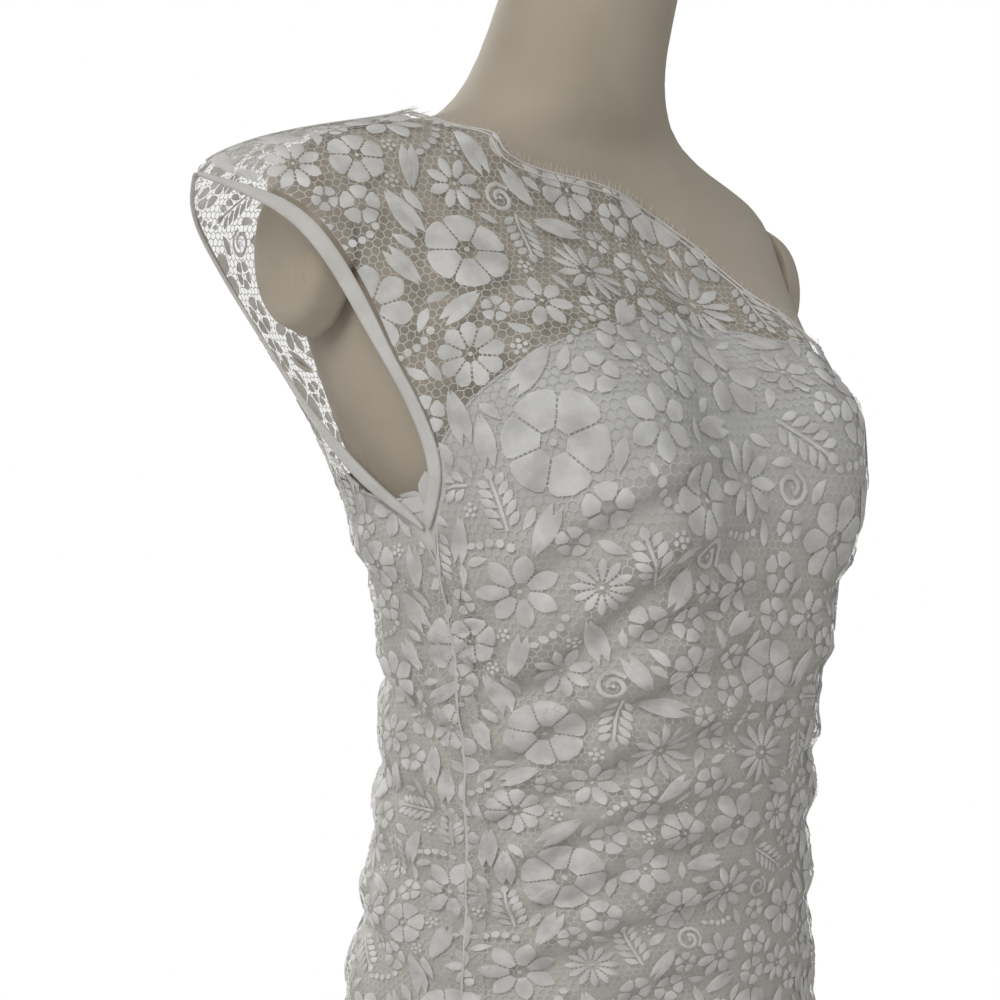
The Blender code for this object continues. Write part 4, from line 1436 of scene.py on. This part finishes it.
# %% Seams and hems
SEAM_ALLOWANCE, SEAM_CORD = 0.011, 0.0006
HEM_CORD, HEM_CORDS_IN = 0.0008, (0.0006, 0.0060)
TOP_ROLL = 0.0009
LINING_SEAM, LINING_SEAM_OUT = 0.0040, 0.0030
for side, paths in rims.items():
    for k, path in enumerate(paths["seam"]):
        edge_pieces[side].append(ribbon(f"seam_allowance_{side}_{k}", path, SEAM_ALLOWANCE, -0.0004,
                                        seam_cloth))
    lines = [path.moved(-0.0005, 0.0001) for path in paths["seam"]]
    edge_pieces[side].append(cords(f"seam_line_{side}", lines, SEAM_CORD, binding_cloth))
    hems = [path.moved(inward, HEM_CORD / 2) for path in paths["hem"] for inward in HEM_CORDS_IN]
    edge_pieces[side].append(cords(f"hem_cords_{side}", hems, HEM_CORD, edge_thread))
lining_edges = {}
for side, paths in lining_rims.items():
    tops = [path.moved(0.0008, 0.0001) for path in paths["top"]]
    lining_edges[side] = [cords(f"lining_roll_{side}", tops, TOP_ROLL, lining_crepe)]
    for k, path in enumerate(paths["seam"]):
        lining_edges[side].append(ribbon(f"lining_seam_{side}_{k}", path, LINING_SEAM, -0.0002,
                                         lining_crepe, start=-LINING_SEAM_OUT))
print("edge pieces:", sum(len(pieces) for pieces in edge_pieces.values()), "and on the lining",
      sum(len(pieces) for pieces in lining_edges.values()))

# %% [markdown]
# ## Form and stand
# The gown hangs on a dress form: a torso under a tight beige cover with a round cap where each arm
# would start, on a steel pole with a round base. Their shapes are already right in the frame, so they
# are only rounded, except at the form's right shoulder. The gown hangs from it, so there the cover is
# raised until it carries the lace. The gown covers most of them, but the neck, a shoulder and both
# armholes show.

# %% Form and stand
# the right shoulder's zone: where it fades out towards the arm and the neck, and from what height
SHOULDER_ARM, SHOULDER_NECK, SHOULDER_LOW = -0.190, -0.080, 1.34
SHOULDER_FADE = 0.035
SHOULDER_CLEAR = 0.0022


def raised_shoulder(piece):
    """Lifts the form's right shoulder until it carries the lace, as the gown hangs from it."""
    places = read(piece.data)
    for k, place in enumerate(places.copy()):
        share = np.prod(np.clip(np.array([place[0] - SHOULDER_ARM, SHOULDER_NECK - place[0],
                                          place[2] - SHOULDER_LOW]) / SHOULDER_FADE, 0, 1))
        if share > 0:
            near, _, _, distance = min((surface.find_nearest(Vector(place))
                                        for surface in lace_surfaces.values()), key=lambda found: found[3])
            places[k] += share * max(0, 1 - SHOULDER_CLEAR / distance) * (np.array(near) - place)
    write(piece.data, places)


form_torso = smooth_copy("form_cover", "form_torso", 1, form_cloth)
raised_shoulder(form_torso)
stand = [smooth_copy("form_arm_right", "arm_cap_right", 2, form_cloth),
         smooth_copy("form_arm_left", "arm_cap_left", 2, form_cloth),
         smooth_copy("pole", "stand_pole", 2, pole_steel),
         smooth_copy("base", "stand_base", 2, stand_enamel)]
print("form and stand triangles:", triangle_count(form_torso), [triangle_count(piece) for piece in stand])

# %% [markdown]
# ## Sheets of cloth
# The flat sizes and areas that the four panels were cut to are worked out, and the areas are printed. The
# lace's flat size holds the extra length taken up by the gathers.

# %% Flat sizes of the panels
def flat_area(piece):
    return float(area_of(vertex_uv(piece.data), triangles_of(piece.data)))


for side in ("front", "back"):
    [float(value) for value in cuts[side]]
    flat_area(grounds[side])
    [float(value) for value in lining_cuts[side]]
    flat_area(linings[side])
    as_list(lining_edges[side])
    print(side, "flat area of lace", round(flat_area(grounds[side]), 3), "of lining",
          round(flat_area(linings[side]), 3))

# %% [markdown]
# ## Light, floor and background
# The picture was lit by soft daylight from the upper left, with the room filling the shadows. A large
# disc stands for the window and a weaker one for the bright side of the room. A second window behind
# lights the back and the left side. The camera sees pure white behind the gown, while the light that the
# surroundings give is much dimmer. The pale floor is below the picture, where it only throws a little
# light back up.

# %% Light and floor
CHEST = (0, 0, 1.2)
SURROUNDINGS = 0.34
FLOOR_RADIUS, FLOOR_BELOW = 2.2, 0.002


def soft_light(name, place, size, power):
    data = bpy.data.lights.new(name, "AREA")
    data.shape = "DISK"
    data.size = size
    data.energy = power
    made = bpy.data.objects.new(name, data)
    COLLECTION.objects.link(made)
    made.location = place
    made.rotation_euler = (Vector(CHEST) - Vector(place)).to_track_quat("-Z", "Y").to_euler()


soft_light("window", (-3.4, -1.2, 3.2), 2.4, 80)
soft_light("room", (1.0, -3.4, 1.6), 2.0, 8)
soft_light("window_behind", (0.8, 3.6, 2.4), 2.4, 100)

world = bpy.data.worlds.new("studio")
bpy.context.scene.world = world
world.use_nodes = True
nodes = world.node_tree.nodes
surroundings = nodes["Background"]
surroundings.inputs["Color"].default_value = (1, 1, 1, 1)
surroundings.inputs["Strength"].default_value = SURROUNDINGS
backdrop = nodes.new("ShaderNodeBackground")
backdrop.inputs["Color"].default_value = (1, 1, 1, 1)
sight = nodes.new("ShaderNodeLightPath")
either = nodes.new("ShaderNodeMixShader")
link(world.node_tree, sight.outputs["Is Camera Ray"], either.inputs["Fac"])
link(world.node_tree, surroundings.outputs["Background"], either.inputs[1])
link(world.node_tree, backdrop.outputs["Background"], either.inputs[2])
link(world.node_tree, either.outputs["Shader"], nodes["World Output"].inputs["Surface"])
bpy.context.scene.view_settings.view_transform = "Standard"

floor_shape = bmesh.new()
bmesh.ops.create_circle(floor_shape, cap_ends=True, segments=96, radius=FLOOR_RADIUS)
floor_mesh = tile_mesh("floor", floor_shape)
floor_paint, floor_tree, floor_shader = new_material("floor_paint", 0.6)
mottle(floor_tree, floor_shader, coordinates(floor_tree, "Object"), 3, (0.80, 0.80, 0.79),
       (0.84, 0.84, 0.83))
floor_mesh.materials.append(floor_paint)
floor = bpy.data.objects.new("floor", floor_mesh)
COLLECTION.objects.link(floor)
floor.location.z = -FLOOR_BELOW
floor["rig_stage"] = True
print("lights and floor are set")

# %% [markdown]
# ## Size and finish
# The boxes of the frame and of the finished gown are both printed. The last line prints how many triangles
# the pieces add, and the most in one piece.

# %% Size and finish
visual_box = [list(corner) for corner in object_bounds()]
print("frame box ", [[round(value, 3) for value in corner] for corner in cad_box])
print("visual box", [[round(value, 3) for value in corner] for corner in visual_box])
counts = {piece.name: triangle_count(piece) for piece in COLLECTION.objects
          if piece.type == "MESH" and "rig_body" in piece}
print("triangles added:", sum(counts.values()), "most in one piece:", max(counts.values()))
